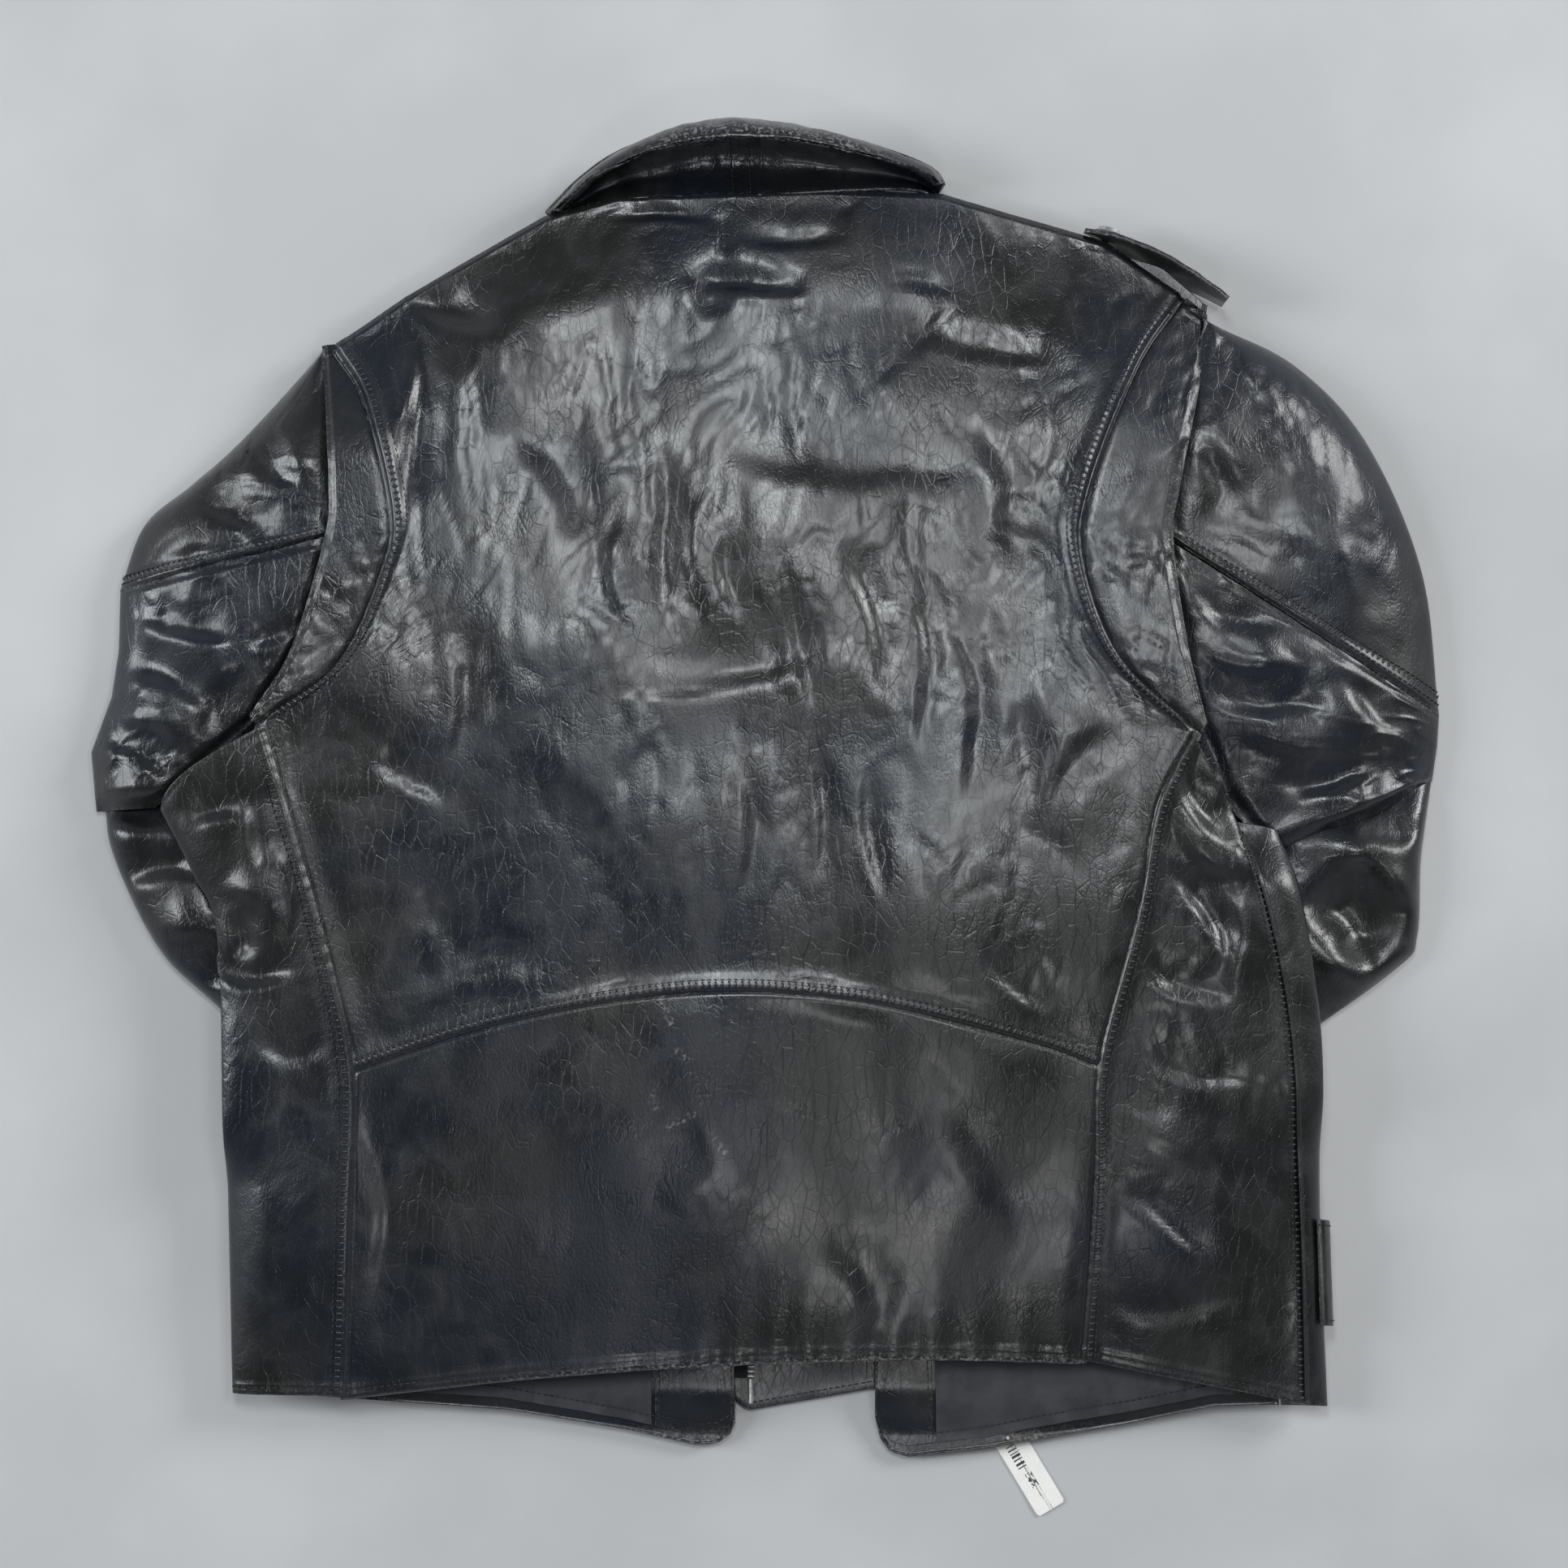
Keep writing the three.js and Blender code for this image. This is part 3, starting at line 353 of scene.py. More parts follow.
WAIST = Curve([(-232, -139), (-148, -112), (-42, -94), (54, -99), (149, -122), (189, -136)])
HEM = Curve([(-239, -327), (-111, -312), (27, -304), (96, -303), (181, -306)])
LEFT_UPPER = Curve([(-232, -139), (-249, -63), (-275, 29), (-283, 56)])
LEFT_LOWER = Curve([(-239, -327), (-234, -224), (-232, -139)])
RIGHT_UPPER = Curve([(189, -136), (211, -49), (222, 11), (242, 51)])
RIGHT_LOWER = Curve([(181, -306), (187, -200), (189, -136)])
SIDE_LEFT = Curve([(-239, -327), (-234, -224), (-232, -139), (-249, -63), (-275, 29), (-283, 56)])
SIDE_RIGHT = Curve([(181, -306), (187, -200), (189, -136), (211, -49), (222, 11), (242, 51)])
PLEAT_LEFT = Curve([(-283, 56), (-238, 90), (-213, 144), (-209, 177), (-224, 239), (-242, 269)])
PLEAT_RIGHT = Curve([(242, 51), (197, 94), (177, 149), (181, 190), (208, 259), (234, 298)])
ARMHOLE_LEFT = Curve([(-288, 62), (-265, 98), (-246, 161), (-244, 190), (-246, 223), (-251, 268)])
ARMHOLE_RIGHT = Curve([(248, 58), (236, 103), (228, 159), (232, 190), (248, 264), (251, 286)])
SHOULDERS = Curve(
    [(-242, 269), (-203, 296), (-124, 342), (-84, 353), (36, 357), (100, 355), (192, 328), (234, 298)], False
)
EDGE_LEFT = Curve([(-303, -326), (-306, -178), (-309, -65), (-323, -28), (-341, 8)])
EDGE_RIGHT = Curve([(321, -334), (316, -224), (315, -122), (303, -40), (290, -4)])
PIPED_SEAM = Curve([(308, -332), (304, -224), (298, -122), (284, -49), (266, 2)])
NECK = Curve([(-124, 342), (-84, 355), (-6, 357), (77, 362), (100, 357)])
COLLAR_ROLL = Curve([(-126, 344), (-102, 367), (-75, 383), (-22, 398), (40, 389), (91, 373), (103, 360)])
COLLAR_EDGE = Curve([(-118, 344), (-87, 366), (-52, 379), (-8, 382), (40, 378), (84, 367), (99, 359)])
HEAD_LEFT = Curve([(-250, 266), (-247, 223), (-245, 190), (-247, 163)], False)
HEAD_RIGHT = Curve([(250, 284), (247, 262), (233, 190), (230, 161)], False)
BELOW_LEFT = Curve([(-247, 160), (-266, 98), (-289, 62), (-341, 16)], False)
BELOW_RIGHT = Curve([(230, 157), (237, 103), (246, 62), (265, 15), (290, -14)], False)
SLEEVE_LEFT = Curve([(-254, 268), (-300, 218), (-328, 193), (-355, 170), (-369, 133)])
SLEEVE_RIGHT = Curve([(254, 286), (303, 262), (344, 218), (376, 144), (386, 62)])
LOW_LEFT = Curve([(-369, 131), (-370, 98), (-374, 72), (-386, 40), (-384, 14)], False)
LOW_RIGHT = Curve([(386, 60), (385, 43), (383, 26)], False)
FOREARM_LEFT = (
    Curve([(-379, 14), (-373, -20), (-346, -74), (-308, -111), (-226, -192), (-194, -228)]),
    Curve([(-328, 9), (-300, -20), (-249, -53), (-200, -90), (-135, -148), (-112, -180)]),
)
FOREARM_RIGHT = (
    Curve([(288, 6), (284, -20), (272, -36), (240, -48), (186, -81), (130, -118), (114, -132)]),
    Curve([(382, 20), (376, -20), (374, -65), (362, -84), (290, -136), (196, -206), (170, -224)]),
)

# ------------------------------------------------------------------ heights, in millimetres
LEATHER = 1.4
CLOTH = 0.8
FRONT_Z = 15.9
LIFT = 21.0
SLEEVE_TOP = 44.0
FOREARM_TOP = 26.0
EDGE_HEIGHT = 9.0
SHOULDER_DROP = 14.0
COLLAR_TOP = 74.0
ROLL_Z = 36.0
PLEAT_STEP = 6.0
UNDER_REACH = 26.0
SLEEVE_LINES = (((-352, -10), (-188, -160), 66.0), ((352, -22), (184, -149), 68.0))
PROFILE = Curve([(-340, 29), (-250, 44), (-140, 52), (0, 58), (110, 59), (210, 55), (300, 46), (400, 40)])


def back_z(y: Array) -> Array:
    """Height of the outer face of the back at a place along the jacket."""
    return np.interp(y, PROFILE.p[:, 0], PROFILE.p[:, 1])


def front_z(x: Array, y: Array) -> Array:
    """Height of the inner face of the fronts, which rise over the tucked forearms."""
    rise = np.zeros(np.shape(x))
    for start, end, reach in SLEEVE_LINES:
        gap, _, _ = Curve([start, end]).near(x, y)
        rise = np.maximum(rise, 1 - smooth_step(gap, reach, reach + 34))
    return FRONT_Z + LIFT * rise


@dataclass(frozen=True)
class Outline:
    """A panel's four edges, and the places between them."""

    bottom: Curve
    top: Curve
    left: Curve
    right: Curve

    def place(self, u: Array, v: Array) -> tuple[Array, Array]:
        """The place on the ground plane at shares u and v of the panel."""
        between = mix(self.bottom.at(u), self.top.at(u), v[..., None])
        across = mix(self.left.at(v), self.right.at(v), u[..., None])
        low = mix(self.bottom.at(0.0), self.bottom.at(1.0), u[..., None])
        high = mix(self.top.at(0.0), self.top.at(1.0), u[..., None])
        made = between + across - mix(low, high, v[..., None])
        return made[..., 0], made[..., 1]

    def sizes(self, u: Array, v: Array) -> tuple[Array, Array]:
        """The width and the height of the panel through a place."""
        width = np.linalg.norm(self.right.at(v) - self.left.at(v), axis=-1)
        return width, np.linalg.norm(self.top.at(u) - self.bottom.at(u), axis=-1)


class Seam(Enum):
    """How a panel's edge is sewn: its raised height, how far its lip drops, and where its topstitch runs."""

    OVER = (0.9, 2.2, 5.0)
    PLEAT = (1.8, 6.0, 7.0)
    TURNED = (0.9, 1.7, 4.6)
    UNDER = (-1.3, 0.5, 0.0)
    PLAIN = (0.0, 0.0, 0.0)

    def height(self, gap: Array, along: Array) -> Array:
        """The height that the seam adds to its panel.

        Args:
            gap: Distance inwards from the edge, in millimetres.
            along: Distance along the edge, in millimetres.

        Returns:
            The added height in millimetres.
        """
        rise, drop, stitch = self.value
        if self is Seam.PLAIN:
            return np.zeros(np.shape(gap))
        wave = np.sin(2 * math.pi * along / 8 + 5 * lattice(along / 27, along * 0 + 0.5, 5))
        drawn = smooth_step(lattice(along / 40, gap * 0, 8), -0.4, 0.5)
        pucker = (0.34 if stitch else 0.12) * np.exp(-np.maximum(gap, 0) / 5) * wave * drawn
        low, high = (5.2, 8.4) if stitch else (0.8, 3.0)
        lip = drop * (1 - smooth_step(gap, -1.6, 0.8))
        made = rise * (1 - smooth_step(gap, low, high)) - lip + pucker
        if stitch:
            made = made - 0.55 * np.exp(-(((gap - stitch) / 1.0) ** 2))
        return made


# ------------------------------------------------------------------ finishes
class Shader:
    """A Principled shader and the nodes that feed it."""

    def __init__(self, name: str) -> None:
        """Makes the material with only its shader and output."""
        self.material = bpy.data.materials.new(name)
        self.material.use_nodes = True
        self.tree = self.material.node_tree
        self.surface = next(n for n in self.tree.nodes if n.type == "BSDF_PRINCIPLED")
        self.object = self.node("ShaderNodeTexCoord").outputs["Object"]
        self.flat = self.node("ShaderNodeUVMap").outputs["UV"]

    def node(self, kind: str, inputs: dict | None = None, **settings: object) -> bpy.types.Node:
        """Adds a node.

        Args:
            kind: The node's type.
            inputs: Sockets by name or number, each with a value or a socket to read.
            settings: The node's own properties.

        Returns:
            The node.
        """
        made = self.tree.nodes.new(kind)
        for key, value in settings.items():
            setattr(made, key, value)
        for key, value in (inputs or {}).items():
            self.feed(made.inputs[key], value)
        return made

    def feed(self, socket: Socket, value: object) -> None:
        """Sets a socket to a number or colour, or links it."""
        if isinstance(value, Socket):
            self.tree.links.new(value, socket)
        else:
            socket.default_value = value

    def stretched(self, source: Socket, scale: tuple, turn: float = 0.0) -> Socket:
        """Coordinates turned by degrees about Z, then scaled."""
        turned_by = (0, 0, math.radians(turn))
        inputs = {"Vector": source, "Rotation": turned_by, "Scale": scale}
        return self.node("ShaderNodeMapping", inputs).outputs[0]

    def noise(self, source: Socket, size: float, detail: float = 3, warp: float = 0) -> Socket:
        """Noise with features of a size in millimetres."""
        inputs = {"Vector": source, "Scale": 1 / (size * MM), "Detail": detail, "Distortion": warp}
        return self.node("ShaderNodeTexNoise", inputs).outputs["Fac"]

    def cells(self, source: Socket, size: float, edges: bool) -> Socket:
        """Distance to the middle, or to the edge, of cells of a size in millimetres."""
        feature = "DISTANCE_TO_EDGE" if edges else "F1"
        inputs = {"Vector": source, "Scale": 1 / (size * MM)}
        return self.node("ShaderNodeTexVoronoi", inputs, feature=feature).outputs["Distance"]

    def remap(self, value: Socket, low: float, high: float, a: float = 0, b: float = 1) -> Socket:
        """The value's range low to high, turned smoothly into a to b."""
        inputs = {0: value, 1: low, 2: high, 3: a, 4: b}
        return self.node("ShaderNodeMapRange", inputs, interpolation_type="SMOOTHSTEP").outputs[0]

    def ribs(self, scale: float, direction: str) -> Socket:
        """Even ribs across the cloth."""
        inputs = {"Vector": self.flat, "Scale": scale}
        return self.node("ShaderNodeTexWave", inputs, bands_direction=direction).outputs["Fac"]

    def math(self, operation: str, a: object, b: object = 0.0) -> Socket:
        """Two numbers put together."""
        return self.node("ShaderNodeMath", {0: a, 1: b}, operation=operation).outputs[0]

    def colour(self, share: object, a: object, b: object, how: str = "MIX") -> Socket:
        """Two colours mixed by a share."""
        return self.node("ShaderNodeMix", {0: share, 6: a, 7: b}, data_type="RGBA", blend_type=how).outputs[2]

    def attribute(self, name: str) -> Socket:
        """A number stored on the piece, which is 0 where the piece has none."""
        return self.node("ShaderNodeAttribute", attribute_name=name).outputs["Fac"]

    def bump(self, height: Socket, depth: float, strength: float = 1.0, under: object = None) -> Socket:
        """A bump of a depth in millimetres, on top of another."""
        inputs = {"Height": height, "Distance": depth * MM, "Strength": strength}
        if under is not None:
            inputs["Normal"] = under
        return self.node("ShaderNodeBump", inputs).outputs[0]

    def finish(self, **sockets: object) -> Finish:
        """Feeds the shader's sockets, named with _ for spaces, and returns the material."""
        for name, value in sockets.items():
            socket = name if name == "IOR" else name.replace("_", " ").title()
            self.feed(self.surface.inputs[socket], value)
        return self.material


def rgb(red: float, green: float, blue: float) -> tuple[float, float, float, float]:
    """A colour with full alpha."""
    return (red, green, blue, 1.0)


@dataclass(frozen=True)
class GrainLeather:
    """Worn black cowhide: pebbled, cracked along its creases and scuffed pale on its edges."""

    name: str = "black_cowhide"
    cold: tuple = rgb(0.0052, 0.0078, 0.0134)
    warm: tuple = rgb(0.0080, 0.0086, 0.0082)
    dusty: tuple = rgb(0.036, 0.036, 0.037)
    bare: tuple = rgb(0.24, 0.235, 0.225)
    gloss: tuple[float, float] = (0.27, 0.42)
    creased: float = 1.0
    worn: float = 1.0

    def make(self) -> Finish:
        """Builds the material."""
        s = Shader(self.name)
        broad = s.noise(s.object, 120, 2)
        patches = s.noise(s.object, 26, 5, 0.6)
        tone = s.colour(s.remap(broad, 0.38, 0.62), self.cold, self.warm)
        lines = s.noise(s.stretched(s.object, (1, 0.22, 1)), 5, 4, 0.5)
        bloom = s.math("MULTIPLY", s.remap(patches, 0.5, 0.78), s.remap(lines, 0.42, 0.62))
        tone = s.colour(s.math("MULTIPLY", bloom, 0.35), tone, self.dusty)
        cracks = s.cells(s.stretched(s.object, (1.25, 0.62, 1), 12), 8.5, True)
        cracks = s.remap(cracks, 0.0, 0.06)
        fine = s.cells(s.stretched(s.object, (1, 0.7, 1), -25), 3.1, True)
        fine = s.remap(fine, 0.0, 0.14)
        pebble = s.cells(s.stretched(s.object, (1.1, 0.75, 1)), 1.5, False)
        streaks = s.noise(s.stretched(s.object, (1, 0.16, 1), 4), 1.5, 3)
        scuff = s.math("ADD", s.math("MULTIPLY", s.attribute("edge"), 0.3), s.attribute("scuff"))
        speckle = s.remap(s.noise(s.object, 1.8, 5), 0.46, 0.66)
        rub = s.math("MULTIPLY", s.math("MULTIPLY", scuff, speckle), 0.85 * self.worn)
        tone = s.colour(rub, tone, self.bare)
        low, high = self.gloss
        rough = s.remap(patches, 0.3, 0.7, low, high)
        rough = s.math("ADD", rough, s.math("MULTIPLY", rub, 0.3))
        where = s.remap(s.noise(s.object, 75, 2), 0.36, 0.6, 0.25, 1.0)
        folds = s.noise(s.stretched(s.object, (1, 0.35, 1), 8), 9, 5, 0.2)
        normal = s.bump(folds, 0.1 * self.creased, 0.8)
        normal = s.bump(streaks, 0.1, 0.7, normal)
        normal = s.bump(s.math("MULTIPLY", cracks, where), 0.14 * self.creased, 0.7, normal)
        normal = s.bump(fine, 0.06, 0.6, normal)
        normal = s.bump(pebble, 0.09, 0.6, normal)
        return s.finish(
            Base_Color=tone, Roughness=rough, Normal=normal, Coat_Weight=0.25, Coat_Roughness=0.2, IOR=1.5
        )


@dataclass(frozen=True)
class LiningCloth:
    """Dark satin lining with a fine cross weave."""

    name: str = "charcoal_lining"
    thread: tuple = rgb(0.020, 0.021, 0.026)
    shine: tuple = rgb(0.044, 0.046, 0.054)

    def make(self) -> Finish:
        """Builds the material."""
        s = Shader(self.name)
        weave = s.math("MAXIMUM", s.ribs(700.0, "X"), s.ribs(700.0, "Y"))
        patches = s.remap(s.noise(s.object, 18, 4), 0.35, 0.65)
        tone = s.colour(s.math("MULTIPLY", patches, weave), self.thread, self.shine)
        normal = s.bump(s.noise(s.object, 9, 4, 0.8), 0.8, 0.8)
        normal = s.bump(weave, 0.08, 0.6, normal)
        rough = s.remap(patches, 0, 1, 0.5, 0.68)
        return s.finish(Base_Color=tone, Roughness=rough, Normal=normal, Sheen_weight=0.15)


@dataclass(frozen=True)
class ZipTape:
    """Black cotton tape woven in ribs, with painted shade in the grooves between them."""

    name: str = "woven_zip_tape"
    rib: tuple = rgb(0.028, 0.028, 0.031)
    valley: tuple = rgb(0.008, 0.008, 0.009)

    def make(self) -> Finish:
        """Builds the material."""
        s = Shader(self.name)
        ribs = s.ribs(260.0, "DIAGONAL")
        lint = s.noise(s.object, 2.2, 5)
        # Painted shade: the valley colour darkens the grooves between the ribs; it also darkens the tone at
        # random where the lint noise is low.
        tone = s.colour(s.math("MULTIPLY", ribs, lint), self.valley, self.rib)
        normal = s.bump(ribs, 0.18, 0.8)
        return s.finish(Base_Color=tone, Roughness=s.remap(lint, 0.3, 0.7, 0.8, 0.95), Normal=normal)


@dataclass(frozen=True)
class WaxedThread:
    """Black sewing thread, with the twist of its plies."""

    name: str = "black_thread"
    dark: tuple = rgb(0.006, 0.006, 0.007)
    light: tuple = rgb(0.05, 0.05, 0.055)

    def make(self) -> Finish:
        """Builds the material."""
        s = Shader(self.name)
        plies = s.noise(s.stretched(s.object, (1, 1, 1), 35), 0.5, 2)
        dust = s.remap(s.noise(s.object, 24, 3), 0.45, 0.7)
        tone = s.colour(s.math("MULTIPLY", dust, plies), self.dark, self.light)
        rough = s.remap(plies, 0.3, 0.7, 0.5, 0.7)
        return s.finish(Base_Color=tone, Roughness=rough, Normal=s.bump(plies, 0.1, 0.6))


@dataclass(frozen=True)
class PlatedMetal:
    """Silver plating with fine scratches and dull patches."""

    name: str
    bright: tuple = rgb(0.66, 0.66, 0.67)
    dull: tuple = rgb(0.33, 0.325, 0.31)
    rough: tuple[float, float] = (0.18, 0.42)

    def make(self) -> Finish:
        """Builds the material."""
        s = Shader(self.name)
        patches = s.noise(s.object, 5, 5)
        scratch = s.noise(s.stretched(s.object, (1, 9, 1), 28), 2.4, 4)
        worn = s.remap(s.math("MULTIPLY", patches, scratch), 0.2, 0.42)
        tone = s.colour(worn, self.bright, self.dull)
        low, high = self.rough
        return s.finish(
            Base_Color=tone, Metallic=1.0, Roughness=s.remap(patches, 0.3, 0.7, low, high),
            Normal=s.bump(scratch, 0.05, 0.5),
        )


@dataclass(frozen=True)
class PrintedCard:
    """A white shop tag with plain bars and rows of dashes that say nothing."""

    name: str = "printed_card"
    card: tuple = rgb(0.80, 0.79, 0.76)
    ink: tuple = rgb(0.03, 0.03, 0.035)

    def make(self) -> Finish:
        """Builds the material."""
        s = Shader(self.name)
        split = s.node("ShaderNodeSeparateXYZ", {"Vector": s.flat}).outputs
        across, along = split[0], split[1]
        stripes = s.noise(s.stretched(s.flat, (0.02, 1, 1)), 1.3, 0)
        bars = s.remap(stripes, 0.47, 0.5)
        band = s.math("MULTIPLY", self.between(s, along, 29, 44), self.between(s, across, 4.5, 14))
        rows = s.remap(s.noise(s.stretched(s.flat, (1, 0.5, 1)), 1.1, 0), 0.5, 0.54)
        lines = s.math("MULTIPLY", self.between(s, along, 16, 25), self.between(s, across, 6, 12))
        printed = s.math("ADD", s.math("MULTIPLY", bars, band), s.math("MULTIPLY", rows, lines))
        fibre = s.noise(s.object, 1.5, 6)
        tone = s.colour(printed, self.card, self.ink)
        tone = s.colour(s.remap(fibre, 0.4, 0.7, 0, 0.12), tone, rgb(0.45, 0.43, 0.4))
        rough = s.remap(fibre, 0.3, 0.7, 0.55, 0.75)
        return s.finish(Base_Color=tone, Roughness=rough, Normal=s.bump(fibre, 0.05, 0.5))

    @staticmethod
    def between(s: Shader, value: Socket, low: float, high: float) -> Socket:
        """1 where the value is between two lengths in millimetres."""
        above = s.math("GREATER_THAN", value, low * MM)
        return s.math("MULTIPLY", above, s.math("LESS_THAN", value, high * MM))


@dataclass(frozen=True)
class ClearNylon:
    """The translucent loop that holds the tag."""

    name: str = "clear_nylon"

    def make(self) -> Finish:
        """Builds the material."""
        s = Shader(self.name)
        cloud = s.noise(s.object, 2, 3)
        tone = s.colour(cloud, rgb(0.62, 0.63, 0.62), rgb(0.82, 0.82, 0.8))
        rough = s.remap(cloud, 0.3, 0.7, 0.25, 0.4)
        return s.finish(Base_Color=tone, Roughness=rough, Transmission_weight=0.3)


@dataclass(frozen=True)
class PaleFloor:
    """A plain pale grey floor."""

    name: str = "pale_floor"

    def make(self) -> Finish:
        """Builds the material."""
        s = Shader(self.name)
        cloud = s.remap(s.noise(s.object, 240, 5), 0.35, 0.65)
        tone = s.colour(cloud, rgb(0.44, 0.445, 0.45), rgb(0.50, 0.505, 0.51))
        return s.finish(Base_Color=tone, Roughness=0.75, Normal=s.bump(s.noise(s.object, 6, 5), 0.3, 0.4))


@dataclass
class Workshop:
    """Everything that the sub-assemblies share: their finishes, and the thread sewn so far."""

    leather: Finish = field(default_factory=GrainLeather().make)
    lining: Finish = field(default_factory=LiningCloth().make)
    tape: Finish = field(default_factory=ZipTape().make)
    thread: Finish = field(default_factory=WaxedThread().make)
    chrome: Finish = field(default_factory=PlatedMetal("plated_metal").make)
    nickel: Finish = field(
        default_factory=PlatedMetal("zip_nickel", rgb(0.8, 0.8, 0.8), rgb(0.4, 0.4, 0.38), (0.34, 0.5)).make
    )
    card: Finish = field(default_factory=PrintedCard().make)
    nylon: Finish = field(default_factory=ClearNylon().make)
    seams: dict[str, list[Array]] = field(default_factory=dict)
    bodies: dict[str, str] = field(default_factory=dict)

    def sew(self, row: str, points: Array, body: str = "root") -> None:
        """Adds a line of topstitching, in millimetres, to a named row that rides on a body."""
        points[:, 2] = np.maximum(points[:, 2], THREAD_FLOOR)
        self.seams.setdefault(row, []).append(points)
        self.bodies[row] = body


class Slot(Enum):
    """Names of material slots."""

    LEATHER = "leather"
    LINING = "lining"
    TAPE = "zip_tape"
    METAL = "metal"
    PAPER = "paper"
    NYLON = "nylon"


def dress(piece: Piece, slot: Slot, nodes: Sequence[str] = (), body: str = "root") -> Piece:
    """Puts a finished piece on its body.

    Args:
        piece: The object, in its place.
        slot: Not used.
        nodes: The frame's solids that it stands for.
        body: The body that it moves with.

    Returns:
        The piece.
    """
    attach(piece, body)
    if nodes:
        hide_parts(*nodes)
    LOG.info("%s: %d faces on %s", piece.name, len(piece.data.polygons), body)
    return piece


def sewn(
    sheet: Sheet, finish: Finish, nodes: Sequence[str], held: str, rests_on: Sequence[str],
    flip: bool = False, slot: Slot = Slot.LEATHER,
) -> Piece:
    """Args:
        sheet: What to build.
        finish: Its material.
        nodes: The frame's solids that it stands for.
        held: How it is held.
        rests_on: What it lies on.
        flip: True where u and v turn the surface's face inwards.
        slot: A material slot name, passed on to dress.

    Returns:
        The piece.
    """
    made = sheet.build(finish, flip)
    dress(made, slot, nodes)
    cloth(sheet, held, rests_on)
    return made


def reach(length: float, step: float, low: float = 0.0, high: float = 0.0) -> Array:
    """Shares along a length that go on past its ends by low and high millimetres."""
    shares = spacing(length + low + high, step)
    return (shares * (length + low + high) - low) / length


def normal_at(surface: Surface, u: Array, v: Array) -> Array:
    """Unit normals of a surface at shares u and v."""
    e = 2e-3
    du = surface(u + e, v) - surface(u - e, v)
    dv = surface(u, v + e) - surface(u, v - e)
    return unit(np.cross(du, dv))


def on_surface(surface: Surface, u: Array, v: Array, lift: float = 0.25) -> Array:
    """A line of places a little above a surface, for thread or piping."""
    u, v = np.broadcast_arrays(np.asarray(u, float), np.asarray(v, float))
    return surface(u, v) + normal_at(surface, u, v) * lift


def bead(name: str, path: Array, radius: float, material: Finish, sides: int = 8) -> Piece:
    """A closed round bead along a line, for piping.

    Args:
        name: The piece's name.
        path: Places in millimetres.
        radius: Its radius in millimetres.
        material: Its finish.
        sides: Number of sides.

    Returns:
        The object.
    """
    along = unit(np.gradient(path, axis=0))
    side = unit(np.cross(along, [0, 0, 1.0]))
    up = np.cross(side, along)
    turn = np.arange(sides) / sides * 2 * math.pi
    round_it = np.cos(turn)[None, :, None] * side[:, None] + np.sin(turn)[None, :, None] * up[:, None]
    points = (path[:, None] + round_it * radius).reshape(-1, 3)
    k = np.arange(len(path) * sides).reshape(len(path), sides)
    nxt = np.roll(k, -1, 1)
    quads = np.stack([k[:-1], nxt[:-1], nxt[1:], k[1:]], -1).reshape(-1, 4).tolist()
    ends = [k[0][::-1].tolist(), k[-1].tolist()]
    made = to_object(name, points, [q[::-1] for q in quads] + [e[::-1] for e in ends], material)
    mesh = made.data
    volume = sum(p.area * p.normal.dot(p.center) for p in mesh.polygons)
    if volume < 0:
        mesh.flip_normals()
    return made


# ------------------------------------------------------------------ what repeats along a line
class Unit(Enum):
    """What is set along a line: a stitch of thread or a metal tooth."""

    STITCH = "stitch"
    TOOTH = "tooth"


def row_tree(unit: Unit, material: Finish) -> bpy.types.NodeTree:
    """A tree that sets a small shape at a pitch along the edges it is given.

    Args:
        unit: The shape to repeat.
        material: Its finish.

    Returns:
        The node tree, with inputs for the pitch and the shape's size.
    """
    tree = bpy.data.node_groups.new(f"{unit.value}_row", "GeometryNodeTree")
    ports = tree.interface
    ports.new_socket("Geometry", in_out="INPUT", socket_type="NodeSocketGeometry")
    ports.new_socket("Pitch", in_out="INPUT", socket_type="NodeSocketFloat").default_value = 0.004
    size = ports.new_socket("Size", in_out="INPUT", socket_type="NodeSocketVector")
    size.default_value = (0.001, 0.001, 0.003)
    ports.new_socket("Geometry", in_out="OUTPUT", socket_type="NodeSocketGeometry")
    add, link = tree.nodes.new, tree.links.new
    given, result = add("NodeGroupInput"), add("NodeGroupOutput")
    line, points = add("GeometryNodeMeshToCurve"), add("GeometryNodeCurveToPoints")
    points.mode = "LENGTH"
    link(given.outputs["Geometry"], line.inputs[0])
    link(line.outputs[0], points.inputs["Curve"])
    link(given.outputs["Pitch"], points.inputs["Length"])
    if unit is Unit.STITCH:
        shape = add("GeometryNodeMeshUVSphere")
        shape.inputs["Segments"].default_value = 6
        shape.inputs["Rings"].default_value = 4
        shape.inputs["Radius"].default_value = 0.5
        body = shape.outputs["Mesh"]
    else:
        shape, soft = add("GeometryNodeMeshCube"), add("GeometryNodeSubdivisionSurface")
        shape.inputs["Size"].default_value = (1, 1, 1)
        soft.inputs["Level"].default_value = 1
        soft.inputs["Edge Crease"].default_value = 0.6
        link(shape.outputs["Mesh"], soft.inputs["Mesh"])
        body = soft.outputs["Mesh"]
    place = add("GeometryNodeInstanceOnPoints")
    link(points.outputs["Points"], place.inputs["Points"])
    link(points.outputs["Rotation"], place.inputs["Rotation"])
    link(body, place.inputs["Instance"])
    link(given.outputs["Size"], place.inputs["Scale"])
    real, finish, soften = (
        add("GeometryNodeRealizeInstances"), add("GeometryNodeSetMaterial"), add("GeometryNodeSetShadeSmooth")
    )
    finish.inputs["Material"].default_value = material
    link(place.outputs[0], real.inputs[0])
    link(real.outputs[0], soften.inputs[0])
    link(soften.outputs[0], finish.inputs[0])
    link(finish.outputs[0], result.inputs[0])
    return tree


